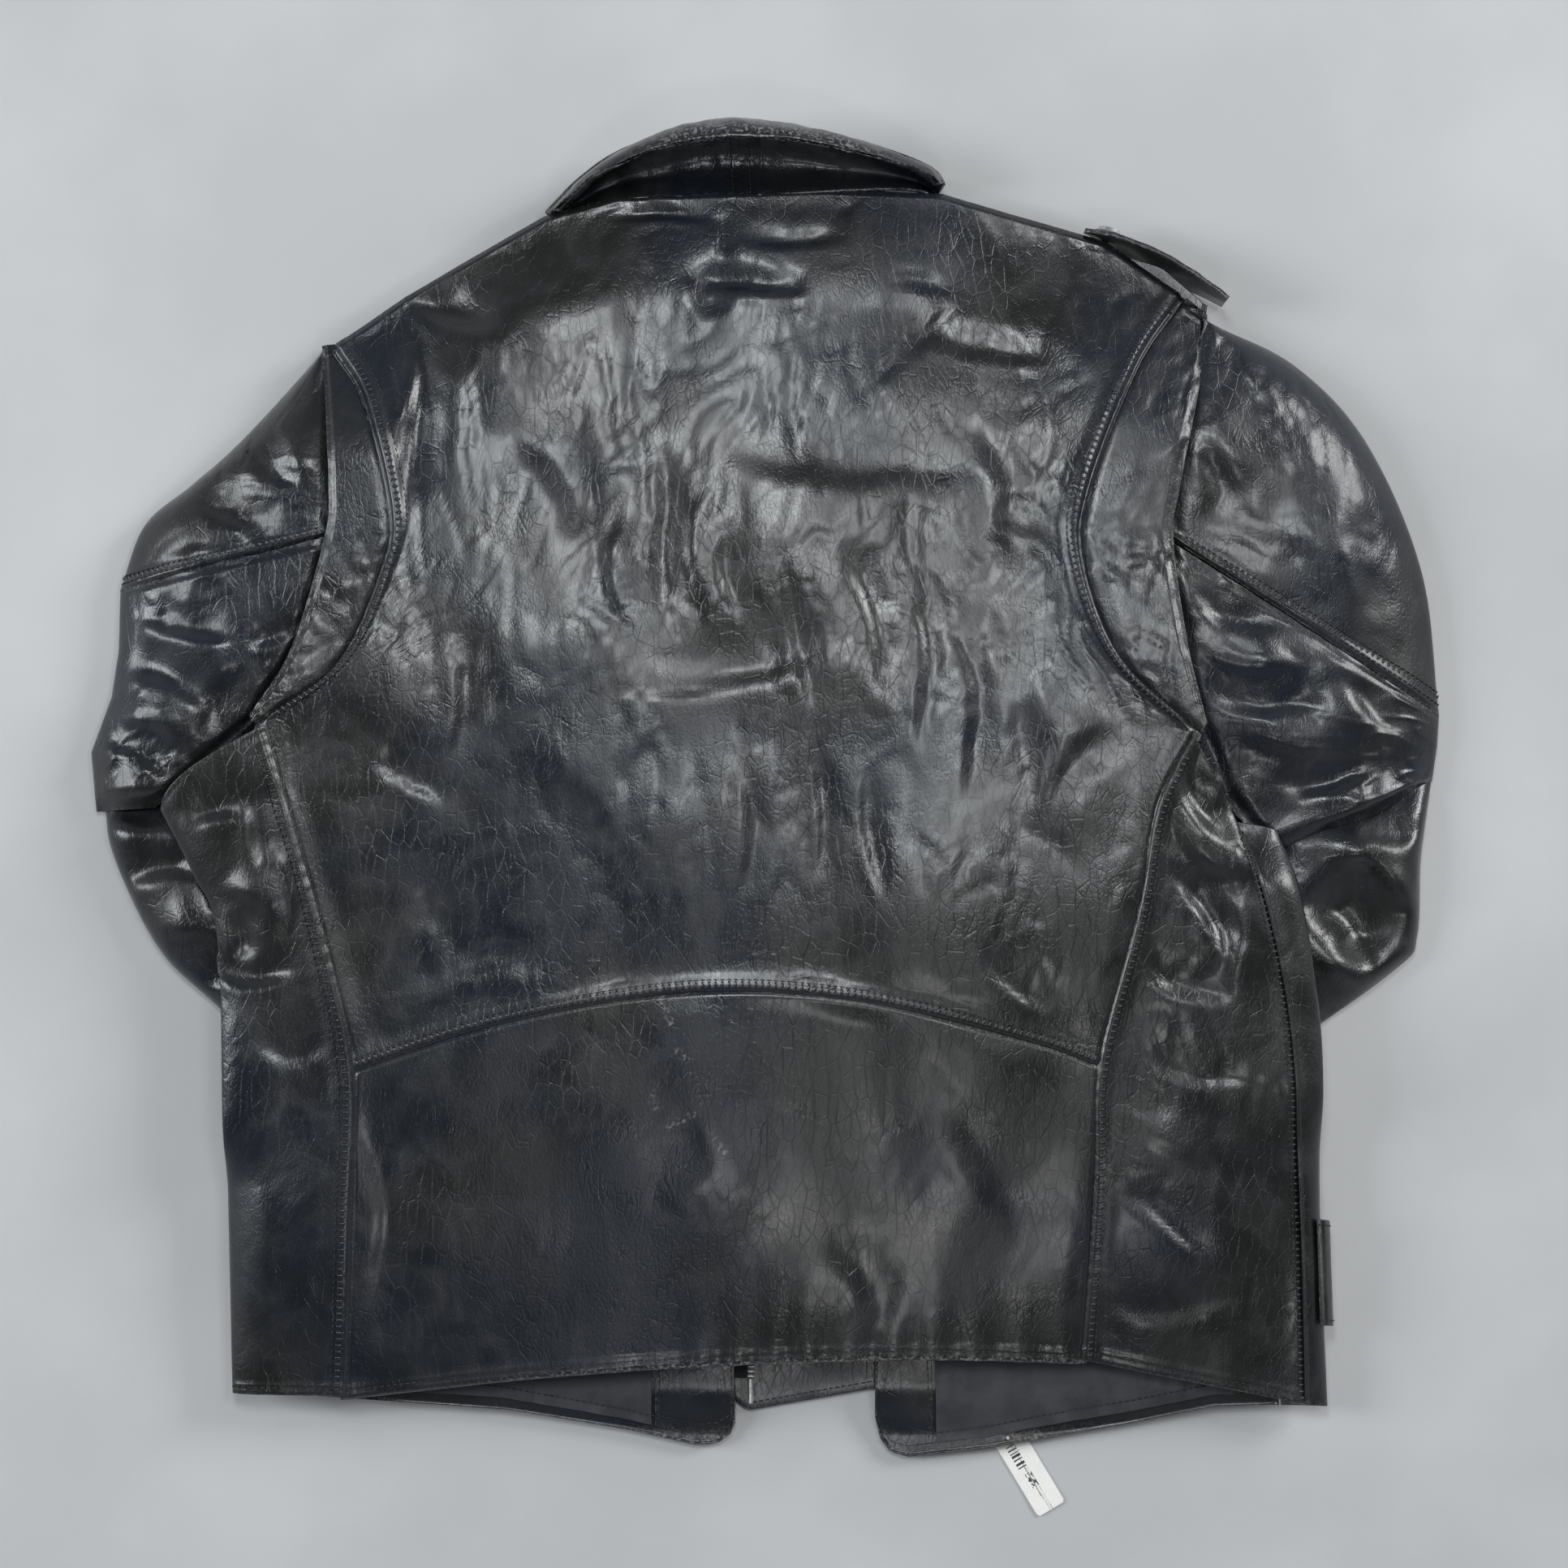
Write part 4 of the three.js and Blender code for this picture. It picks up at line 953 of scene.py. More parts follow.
def set_along(
    name: str, lines: Sequence[Array], tree: bpy.types.NodeTree, pitch: float, size: tuple
) -> Piece:
    """One plain mesh of everything that a row tree sets along some lines.

    Args:
        name: The piece's name.
        lines: Places in millimetres, one array for each line.
        tree: The row tree.
        pitch: Distance between two shapes in millimetres.
        size: The shape's two widths and its length along the line, in millimetres.

    Returns:
        The object, with no modifier left.
    """
    counts = [len(line) for line in lines]
    starts = np.cumsum([0, *counts[:-1]])
    edges = [(s + i, s + i + 1) for s, n in zip(starts.tolist(), counts) for i in range(n - 1)]
    mesh = bpy.data.meshes.new(f"{name}_route")
    mesh.from_pydata((np.vstack(lines) * MM).tolist(), edges, [])
    route = linked(f"{name}_route", mesh)
    modifier = route.modifiers.new("row", "NODES")
    modifier.node_group = tree
    sockets = {s.name: s.identifier for s in tree.interface.items_tree if s.in_out == "INPUT"}
    modifier[sockets["Pitch"]] = pitch * MM
    modifier[sockets["Size"]] = [s * MM for s in size]
    graph = bpy.context.evaluated_depsgraph_get()
    made = bpy.data.meshes.new_from_object(route.evaluated_get(graph))
    made.name = name
    bpy.data.objects.remove(route)
    return linked(name, made)


# ------------------------------------------------------------------ folds
BACK_FOLDS = (
    Fold(((-91, 342), (-60, 345), (-28, 342)), -2.6, 3, True),
    Fold(((-28, 346), (-24, 330), (-24, 315)), -2.6, 4, True),
    Fold(((-19, 333), (16, 329), (50, 333)), -2.2, 4),
    Fold(((-54, 312), (-10, 304), (31, 301)), -3.2, 7),
    Fold(((-35, 315), (-30, 300), (-17, 287)), -2.8, 12),
    Fold(((66, 308), (109, 301)), -1.6, 4),
    Fold(((96, 296), (72, 262), (45, 236)), -1.4, 4, True),
    Fold(((114, 299), (96, 280), (77, 259)), -1.4, 4, True),
    Fold(((-33, 207), (20, 205), (100, 200)), -1.8, 15),
    Fold(((15, 196), (90, 200), (178, 186)), -1.4, 18),
    Fold(((-91, 75), (-19, 89), (68, 112)), -2.4, 15),
    Fold(((-91, 75), (-55, 73), (-19, 75)), -0.9, 4, True),
    Fold(((-132, 62), (-100, 22), (-64, -30)), 2.8, 19),
    Fold(((-203, -26), (-180, -55), (-150, -92)), -1.8, 15),
    Fold(((-203, 299), (-176, 286), (-148, 282)), -4.5, 9),
    Fold(((-196, 290), (-194, 240), (-203, 172)), -4.6, 8),
    Fold(((-170, 300), (-150, 262), (-148, 214)), 2.6, 15),
    Fold(((73, 282), (120, 268), (170, 264)), -1.8, 6),
    Fold(((-140, 232), (-110, 190), (-104, 146)), -2.6, 16),
    Fold(((120, 236), (138, 190), (140, 140)), 2.2, 18),
    Fold(((-58, 210), (-56, 170), (-62, 120)), -2.4, 5),
    Fold(((-36, 196), (-38, 150), (-30, 100)), 2.2, 7),
    Fold(((-18, 172), (-22, 140), (-12, 108)), -1.8, 5),
    Fold(((-76, 180), (-84, 140), (-72, 104)), 1.8, 8),
    Fold(((10, 150), (18, 110), (30, 60)), -2.0, 6),
    Fold(((40, 165), (62, 120), (66, 66)), -2.2, 7),
    Fold(((84, 140), (92, 96), (88, 30)), -1.8, 5),
    Fold(((110, 120), (120, 60), (112, 4)), -1.8, 6),
    Fold(((26, 50), (34, 8), (30, -40)), -1.5, 4),
    Fold(((60, 40), (58, 0), (70, -52)), -1.7, 5),
    Fold(((-12, 40), (-6, -10), (-14, -50)), -1.3, 5),
    Fold(((150, 96), (164, 40), (158, -20)), 2.6, 13),
    Fold(((-170, 120), (-166, 70), (-180, 20)), -2.2, 9),
    Fold(((-235, 40), (-205, 30), (-170, 8)), -2.2, 9),
    Fold(((-226, -96), (-160, -78), (-100, -84)), -1.4, 12),
    Fold(((120, -60), (140, -88), (170, -110)), -1.8, 8),
    Fold(((196, 60), (170, 30), (160, -6)), -2.0, 8),
)
LOWER_FOLDS = (
    Fold(((-225, -160), (-214, -220), (-222, -290)), -1.6, 10),
    Fold(((-60, -130), (-30, -180), (-48, -250)), 1.6, 24),
    Fold(((96, -150), (128, -190), (150, -240)), -1.8, 14),
    Fold(((30, -230), (60, -262), (74, -290)), -1.4, 10),
)
SIDE_FOLDS = (
    Fold(((197, -201), (228, -224), (257, -251)), -3.0, 9),
    Fold(((232, 40), (246, 10), (270, -10)), -3.6, 9),
    Fold(((226, 6), (250, -18), (284, -30)), 3.2, 10),
    Fold(((224, -24), (246, -44), (262, -78)), -4.4, 8),
    Fold(((262, -30), (270, -62), (266, -104)), 3.0, 9),
    Fold(((214, -72), (236, -92), (272, -96)), -3.2, 8),
    Fold(((206, -120), (240, -140), (290, -146)), -2.0, 10),
    Fold(((200, -160), (230, -176), (280, -196)), 1.8, 12),
    Fold(((190, -270), (230, -276), (290, -262)), -1.4, 10),
    Fold(((-300, -51), (-296, -64), (-294, -78)), -5.5, 6),
    Fold(((-318, -74), (-292, -84), (-262, -80)), -4.2, 8),
    Fold(((-305, -30), (-282, -44), (-262, -58)), 3.6, 11),
    Fold(((-330, 0), (-306, 10), (-286, 4)), -3.4, 9),
    Fold(((-300, 30), (-285, 6), (-282, -30)), -2.6, 7),
    Fold(((-290, -120), (-268, -130), (-246, -124)), -1.8, 9),
    Fold(((-286, -180), (-272, -240), (-278, -300)), -1.2, 10),
)
SLEEVE_FOLDS = (
    Fold(((-327, 190), (-295, 172), (-275, 154)), -4.6, 9),
    Fold(((-364, 117), (-330, 112), (-295, 103)), -4.4, 8),
    Fold(((-295, 103), (-278, 106), (-263, 112)), -2.6, 6),
    Fold(((-352, 150), (-318, 160), (-290, 146)), 2.6, 10),
    Fold(((-300, 214), (-276, 196), (-262, 200)), -2.6, 8),
    Fold(((-280, 236), (-266, 214), (-262, 186)), 2.4, 8),
    Fold(((-372, 92), (-340, 84), (-306, 62)), -3.6, 8),
    Fold(((-376, 66), (-346, 58), (-318, 40)), 3.4, 9),
    Fold(((-380, 48), (-356, 40), (-334, 24)), -3.6, 7),
    Fold(((-290, 90), (-310, 70), (-318, 44)), -2.8, 8),
    Fold(((262, 268), (284, 246), (296, 214)), 2.2, 14),
    Fold(((246, 214), (256, 190), (250, 166)), -2.6, 7),
    Fold(((262, 244), (258, 214), (270, 180)), 1.8, 8),
    Fold(((300, 190), (320, 150), (352, 120)), 2.0, 18),
    Fold(((350, 190), (340, 150), (356, 104)), -1.8, 13),
    Fold(((240, 140), (262, 118), (300, 108)), -3.4, 8),
    Fold(((242, 112), (268, 92), (310, 90)), 3.0, 9),
    Fold(((246, 82), (276, 66), (322, 70)), -4.0, 8),
    Fold(((262, 52), (290, 46), (330, 40)), 3.8, 9),
    Fold(((280, 24), (312, 22), (352, 34)), -4.2, 8),
    Fold(((330, 84), (350, 60), (372, 52)), -2.6, 7),
    Fold(((308, 2), (340, 6), (379, 16)), 3.8, 9),
)
FOREARM_FOLDS = (
    Fold(((-381, 0), (-362, 4), (-340, 0)), -3.4, 7),
    Fold(((-372, -34), (-344, -24), (-318, -30)), -4.4, 9),
    Fold(((-352, -66), (-326, -58), (-300, -66)), 3.4, 10),
    Fold(((-330, -92), (-300, -84), (-280, -96)), -3.6, 9),
    Fold(((336, -4), (359, -8), (380, 0)), -3.8, 8),
    Fold(((312, -22), (347, -22), (374, -57)), 6.0, 9, True),
    Fold(((306, -36), (330, -56), (352, -86)), -13.0, 17),
    Fold(((312, -70), (336, -88), (357, -95)), 3.6, 9),
    Fold(((300, -96), (322, -110), (338, -112)), -3.2, 8),
)


def hide(x: Array, y: Array, seed: int, fine: float = 1.0) -> Array:
    """The restless surface of worn leather: slow waves, soft dents and thin creases.

    Args:
        x: Places across the jacket.
        y: Places along the jacket.
        seed: Which pattern.
        fine: How strong the creases are.

    Returns:
        Heights in millimetres.
    """
    slow = 4.4 * lattice(x / 105, y / 150, seed) + 1.0 * lattice(x / 46, y / 66, seed + 1)
    bend = x + 9 * lattice(x / 34, y / 34, seed + 7)
    dents = 0.11 * lattice(bend / 19, y / 30, seed + 2) * (1 + lattice(x / 60, y / 60, seed + 8))
    thin = creases(x, y, 17, 52, 8, seed + 3) + 0.7 * creases(x, y, 13, 40, -38, seed + 4)
    return slow + fine * (dents - 0.8 * thin)


def body_wrinkles(x: Array, y: Array) -> Array:
    """The wrinkles of the upper back, strongest down its middle and towards the armholes."""
    middle = np.exp(-((x / 150) ** 2) - ((y - 90) / 160) ** 2)
    upright = creases(x, y, 24, 90, -3, 31) + 0.6 * creases(x, y, 17, 70, 9, 33)
    near_arm = smooth_step(np.abs(x + 15), 110, 200) * smooth_step(y, -40, 120)
    return hide(x, y, 11, 0.8) - middle * 0.9 * upright - near_arm * creases(x, y, 13, 40, 22, 37)


def broad(x: Array, y: Array) -> Array:
    """The broad lie of the back: raised along its lower middle, and falling off right of the spine."""
    low = 6 * smooth_step(x, -225, -90) * (1 - smooth_step(x, 90, 180)) * (1 - smooth_step(y, -80, 60))
    across = smooth_step(x, -12, 84) * (1 - smooth_step(x, 100, 215))
    return low - 8 * across * smooth_step(y, 60, 150) * (1 - smooth_step(y, 285, 345))


# ------------------------------------------------------------------ body
@dataclass
class Back:
    """The two back panels, and the pleated gussets behind the arms."""

    shop: Workshop
    step: float = 2.6
    lip: float = 2.4
    pleat_lip: float = 3.4

    def upper_height(self, x: Array, y: Array, u: Array, v: Array) -> Array:
        """Height of the upper back with its folds and sewn edges."""
        width, height = UPPER.sizes(u, v)
        fall = mix(SHOULDER_DROP, 7.0, np.exp(-(((x + 30) / 80) ** 2)))
        made = back_z(y) + broad(x, y) - fall * smooth_step(v, 0.86, 1) - 500 * np.maximum(v - 1.0, 0)
        calm = smooth_step(np.minimum(u, 1 - u) * width, -2, 14) * smooth_step(v * height, -2, 16)
        made = made + body_wrinkles(x, y) * calm + folds_at(BACK_FOLDS, x, y)
        for gap, corner in ((u * width, 0.457), ((1 - u) * width, 0.426)):
            pleated = smooth_step(v, corner - 0.012, corner + 0.012)
            made = made + mix(Seam.UNDER.height(gap, v * height), Seam.PLEAT.height(gap, v * height), pleated)
        return made + Seam.OVER.height(v * height, u * width)

    def lower_height(self, x: Array, y: Array, u: Array, v: Array) -> Array:
        """Height of the lower back, gathered a little at its turned hem."""
        width, height = LOWER.sizes(u, v)
        rise = v * height
        gathers = np.sin(2 * math.pi * x / 23 + 2.5 * lattice(x / 60, y / 90, 6))
        gathers = gathers * np.exp(-np.maximum(rise, 0) / 15) * smooth_step(x, -90, -20)
        calm = smooth_step(np.minimum(u, 1 - u) * width, -2, 14) * smooth_step((1 - v) * height, -2, 16)
        made = back_z(y) + broad(x, y) + 1.1 * gathers + 0.8 * calm * hide(x, y, 61, 0.28)
        made = made + folds_at(LOWER_FOLDS, x, y)
        made = made + Seam.UNDER.height(u * width, rise) + Seam.UNDER.height((1 - u) * width, rise)
        return made + Seam.UNDER.height((1 - v) * height, u * width) + Seam.TURNED.height(rise, u * width)

    def gusset(self, side: str, inner: Curve, outer: Curve) -> None:
        """Sews one gusset, deep in its pleat."""

        def surface(u: Array, v: Array) -> Array:
            share = mix(-0.01, 1.015, v)
            a, b = inner.at(share), outer.at(share)
            place = mix(a, b, u[..., None])
            x, y = place[..., 0], place[..., 1]
            width = np.linalg.norm(b - a, axis=-1)
            z = back_z(y) - PLEAT_STEP + LEATHER - SHOULDER_DROP * smooth_step(share, 0.7, 1)
            z = z + 0.9 * hide(x, y, 71) + 1.2 * creases(x, y, 10, 26, 70, 72)
            z = z - 4.0 * (1 - smooth_step(u * width, -6, 7))
            z = z + Seam.UNDER.height((1 - u) * width, share * 220)
            return np.stack([x, y, z], -1)

        us, vs = reach(42, 2.2, 5, 2), reach(225, self.step)
        left = side == "left"
        sheet = Sheet(f"{side}_gusset_leather", surface, us, vs, LEATHER)
        under = [f"{side}_lower_sleeve_leather"]
        sewn(sheet, self.shop.leather, [f"{side}_action_gusset"], "folded", under, left)

    def make(self) -> None:
        """Builds the panels, their topstitching and the beads along the pleats."""
        leather = self.shop.leather
        upper = flat_panel(UPPER, self.upper_height)
        sheet = Sheet(
            "upper_back_leather", upper, reach(430, self.step, self.pleat_lip, self.pleat_lip),
            reach(440, self.step, self.lip, 3), LEATHER,
        )
        sewn(sheet, leather, ["upper_back_panel"], "laid", ["back_lining_cloth"])
        lower = flat_panel(LOWER, self.lower_height)
        across, along = reach(425, self.step, 2, 2), reach(200, self.step, 1, 2)
        sheet = Sheet("lower_back_leather", lower, across, along, LEATHER)
        made = sewn(sheet, leather, ["lower_back_panel"], "laid", ["back_lining_cloth"])
        stored(made, "scuff", self.scuffs(made))
        self.gusset("left", PLEAT_LEFT, ARMHOLE_LEFT)
        self.gusset("right", PLEAT_RIGHT, ARMHOLE_RIGHT)
        t = np.linspace(0.008, 0.992, 260)
        width, height = UPPER.sizes(t, t)
        self.shop.sew("back_stitching", on_surface(upper, t, 5.2 / height))
        self.shop.sew("seam_puckers", on_surface(upper, t, 2.6 / height, -0.1))
        self.shop.sew("back_stitching", on_surface(lower, t, 4.6 / LOWER.sizes(t, t)[1]))
        for side, corner, inset in (("left", 0.457, 8.0), ("right", 0.426, 6.5)):
            v = np.linspace(corner + 0.01, 0.985, 200)
            width, _ = UPPER.sizes(v, v)
            u = inset / width
            edge = -1.6 / width
            if side == "right":
                u, edge = 1 - u, 1 - edge
            self.shop.sew("back_stitching", on_surface(upper, u, v))
            self.shop.sew("seam_puckers", on_surface(upper, (u + edge) / 2, v, -0.1))
            piping = bead(f"{side}_pleat_piping", on_surface(upper, edge, v, -0.2)[::2], 1.5, leather)
            dress(piping, Slot.LEATHER)

    @staticmethod
    def scuffs(made: Piece) -> Array:
        """Where the lower back is scratched pale: a few spots left of its middle, and its turned hem."""
        co = points_of(made)
        x, y = co[:, 0], co[:, 1]
        total = np.zeros(len(co))
        for a, b in (((-58, -98), (-52, -112)), ((-50, -128), (-42, -134)), ((-54, -170), (-40, -164)),
                     ((-30, -176), (-22, -186)), ((-64, -152), (-60, -160))):
            gap, _, _ = Curve([a, b]).near(x, y)
            total += 0.9 * np.exp(-((gap / 1.3) ** 2))
        gap, _, _ = HEM.near(x, y)
        return total + 0.8 * np.exp(-((gap / 1.7) ** 2)) * smooth_step(x, -200, -60)


LEFT_SIDE = joined(LEFT_UPPER, PLEAT_LEFT)
RIGHT_SIDE = joined(RIGHT_UPPER, PLEAT_RIGHT)
UPPER = Outline(WAIST, SHOULDERS, LEFT_SIDE, RIGHT_SIDE)
LOWER = Outline(HEM, WAIST, LEFT_LOWER, RIGHT_LOWER)


def points_of(made: Piece) -> Array:
    """The mesh's places in millimetres."""
    co = np.zeros(len(made.data.vertices) * 3)
    made.data.vertices.foreach_get("co", co)
    return co.reshape(-1, 3) / MM


def stored(made: Piece, name: str, values: Array) -> None:
    """Stores a number for each place of a mesh, which its finish reads."""
    layer = made.data.attributes.new(name, "FLOAT", "POINT")
    layer.data.foreach_set("value", values.astype(np.float32))


def flat_panel(outline: Outline, height: Callable[[Array, Array, Array, Array], Array]) -> Surface:
    """A surface over an outline, at a height worked out for each place."""

    def surface(u: Array, v: Array) -> Array:
        x, y = outline.place(u, v)
        return np.stack([x, y, height(x, y, u, v)], -1)

    return surface


def cloth(sheet: Sheet, held: str, rests_on: Sequence[str]) -> None:
    """Works out a piece's flat width, length and area, measured on the piece itself, and does nothing with
    them.

    The size isn't an independent one, so a comparison of the piece with it can't show that it is right.

    Args:
        sheet: What it was built from, which holds its measured width, length and area.
        held: Not used.
        rests_on: What it lies on.
    """
    width, length = round(sheet.width, 3), round(sheet.height, 3)
    area = min(max(sheet.area, 0.305 * width * length), width * length)
    list(rests_on)


@dataclass
class Sides:
    """The side panels that roll down to the fronts, the piped edge strip and the belt loop on it."""

    shop: Workshop
    step: float = 2.6
    inset: float = 0.004

    def rolled(self, u: Array, v: Array) -> Array:
        """The wearer's left side: from the side seam over the edge and under to the front."""
        share = mix(self.inset, 1 - self.inset, v)
        s, e = SIDE_LEFT.at(share), EDGE_LEFT.at(share)
        low = front_z(e[..., 0] + UNDER_REACH, e[..., 1])
        high = back_z(s[..., 1])
        side = low + np.minimum(EDGE_HEIGHT, (high - low) * 0.45)
        return np.stack(self.wrapped(u, s, e, UNDER_REACH, (high, side, low)), -1)

    @staticmethod
    def wrapped(u: Array, seam: Array, edge: Array, under: float, tops: tuple[Array, Array, Array]) -> tuple:
        """Places on a panel that rolls over its outer edge and back under.

        Args:
            u: Shares across the panel, half of it over and half under.
            seam: Where it starts.
            edge: Its outermost line.
            under: How far back under it reaches, in X.
            tops: The heights of its seam, its edge and its underside.

        Returns:
            The places' X, Y and Z.
        """
        high, side, low = tops
        a, b, over = u * math.pi, (u - 0.5) * math.pi, u < 0.5
        y = mix(seam[..., 1], edge[..., 1], np.minimum(u * 2, 1))
        outwards = mix(seam[..., 0], edge[..., 0], np.sin(a))
        x = np.where(over, outwards, mix(edge[..., 0] + under, edge[..., 0], np.cos(b)))
        return x, y, np.where(over, mix(side, high, np.cos(a)), mix(side, low, np.sin(b)))

    def left(self, u: Array, v: Array) -> Array:
        """The left side panel with its folds."""
        base = self.rolled(u, v)
        x, y = base[..., 0], base[..., 1]
        fade = 1 - smooth_step(u, 0.42, 0.6)
        gap = u * 150
        crumple = folds_at(SIDE_FOLDS, x, y) + 0.9 * hide(x, y, 81, 0.7) * smooth_step(gap, -2, 14)
        lift = crumple * fade + Seam.OVER.height(gap, v * 390) + Seam.TURNED.height(v * 390, gap) * fade
        base[..., 2] += lift
        return base

    def flank(self, u: Array, v: Array) -> Array:
        """The right side panel, from the side seam to the piped seam."""
        share = mix(self.inset, 1 - self.inset, v)
        s, f = SIDE_RIGHT.at(share), PIPED_SEAM.at(share)
        low, high = front_z(f[..., 0], f[..., 1]), back_z(s[..., 1])
        end = mix(low, high, 0.62)
        place = mix(s, f, u[..., None])
        x, y = place[..., 0], place[..., 1]
        width = np.linalg.norm(f - s, axis=-1)
        z = mix(end, high, np.cos(np.clip(u, 0, 1.2) * math.pi / 2))
        calm = smooth_step(np.minimum(u, 1 - u) * width, -2, 14)
        z = z + folds_at(SIDE_FOLDS, x, y) + hide(x, y, 91, 0.9) * calm
        z = z + 1.2 * smooth_step(y, -120, -10) * lattice(x / 26, y / 22, 95)
        z = z + Seam.OVER.height(u * width, v * 360) + Seam.UNDER.height((1 - u) * width, v * 360)
        return np.stack([x, y, z + Seam.TURNED.height(v * 330, u * width)], -1)

    def strip(self, u: Array, v: Array) -> Array:
        """The strip beyond the piped seam, which wraps round the edge and under."""
        share = mix(self.inset, 1 - self.inset, v)
        f, e = PIPED_SEAM.at(share), EDGE_RIGHT.at(share)
        low = front_z(f[..., 0], f[..., 1])
        high = mix(low, back_z(SIDE_RIGHT.at(share)[..., 1]), 0.62)
        x, y, z = self.wrapped(u, f, e, -UNDER_REACH, (high, mix(low, high, 0.4), low))
        z = z + 0.5 * hide(x, y, 97) * (1 - smooth_step(u, 0.4, 0.6))
        z = z - 12 * smooth_step(v, 0.88, 1.0) * (1 - u)
        return np.stack([x, y, z], -1)

    def loop(self, u: Array, v: Array) -> Array:
        """The belt loop, standing off the edge strip."""
        around = mix(0.2, 0.75, u)
        bottom, top = EDGE_RIGHT.p[0, 1], EDGE_RIGHT.p[-1, 1]
        edge = self.strip(around, (mix(-288.0, -228.0, v) - bottom) / (top - bottom))
        outward = np.stack([np.sin(math.pi * around), around * 0, np.cos(math.pi * around)], -1)
        slack = 3.0 * np.minimum(np.sin(math.pi * np.clip(u, 0, 1)) * 3, 1) + 2.4
        return edge + outward * slack[..., None]

    def make(self) -> None:
        """Builds the side pieces and their topstitching."""
        leather = self.shop.leather
        pieces = (
            ("left_side", self.left, reach(150, self.step, 2.2, 0), 392, "left_side_panel"),
            ("right_side", self.flank, reach(96, self.step, 2.2, 2), 365, "right_side_panel"),
            ("right_edge_strip", self.strip, reach(66, 2.2), 330, "right_front_edge_panel"),
        )
        for name, surface, us, length, node in pieces:
            sheet = Sheet(f"{name}_leather", surface, us, reach(length, self.step), LEATHER)
            side = name.split("_")[0]
            sewn(sheet, leather, [node], "laid", [f"{side}_front_leather"], side == "left")
        sheet = Sheet("right_side_belt_loop_leather", self.loop, reach(44, 1.5), reach(60, 1.8), 1.6)
        made = sheet.build(leather)
        dress(made, Slot.LEATHER, ["right_side_belt_loop"])
        t = np.linspace(0.01, 0.965, 260)
        self.shop.sew("side_stitching", on_surface(self.left, 5.5 / 150, t, -0.3))
        self.shop.sew("side_stitching", on_surface(self.left, np.linspace(0.03, 0.45, 40), 4.6 / 392, -0.3))
        width = np.linalg.norm(PIPED_SEAM.at(t) - SIDE_RIGHT.at(t), axis=-1)
        for inset in (5.8 / width, 1 - 5.5 / width):
            self.shop.sew("side_stitching", on_surface(self.flank, inset, t))
        self.shop.sew("seam_puckers", on_surface(self.left, 2.9 / 150, t, 0.1))
        for inset in (2.9 / width, 1 - 2.7 / width):
            self.shop.sew("seam_puckers", on_surface(self.flank, inset, t, -0.1))
        self.shop.sew("side_stitching", on_surface(self.flank, np.linspace(0.03, 0.97, 60), 4.6 / 330))
        for v in (3 / 60, 57 / 60):
            self.shop.sew("side_stitching", on_surface(self.loop, np.linspace(0.05, 0.95, 30), v))
        route = on_surface(self.strip, 0.01, np.linspace(0.01, 0.98, 140), 0.6)
        dress(bead("right_seam_piping", route, 1.5, leather), Slot.LEATHER)


# ------------------------------------------------------------------ fronts and linings
LEFT_FRONT = Outline(
    Curve(
        [(-277, -326), (-254, -328), (-148, -336), (-79, -348),
         (-40, -357), (-27, -356), (-20, -351), (-17, -344)],
        False,
    ),
    Curve([(-242, 266), (-203, 292), (-124, 336), (-100, 322), (-62, 262), (-17, 190)], False),
    Curve([(-277, -326), (-280, -178), (-283, -65), (-290, -20), (-272, 66), (-250, 160), (-242, 266)]),
    Curve([(-17, -344), (-17, 190)], False),
)
RIGHT_FRONT = Outline(
    Curve(
        [(63, -340), (66, -353), (72, -361), (82, -364), (128, -359), (206, -345), (257, -334), (294, -333)],
        False,
    ),
    Curve([(63, 190), (78, 262), (92, 322), (104, 350), (190, 327), (226, 316), (252, 294)], False),
    Curve([(63, -340), (63, 190)], False),
    Curve([(294, -333), (289, -224), (286, -122), (270, -40), (246, 52), (234, 160), (252, 294)]),
)
INNER_BACK = Outline(
    Curve([(-226, -316), (-111, -305), (27, -297), (96, -296), (170, -299)]),
    Curve([(-190, 278), (-110, 322), (90, 336), (186, 300)], False),
    Curve([(-226, -316), (-224, -140), (-252, 20), (-205, 150), (-190, 278)]),
    Curve([(170, -299), (178, -136), (212, 20), (172, 160), (186, 300)]),
)


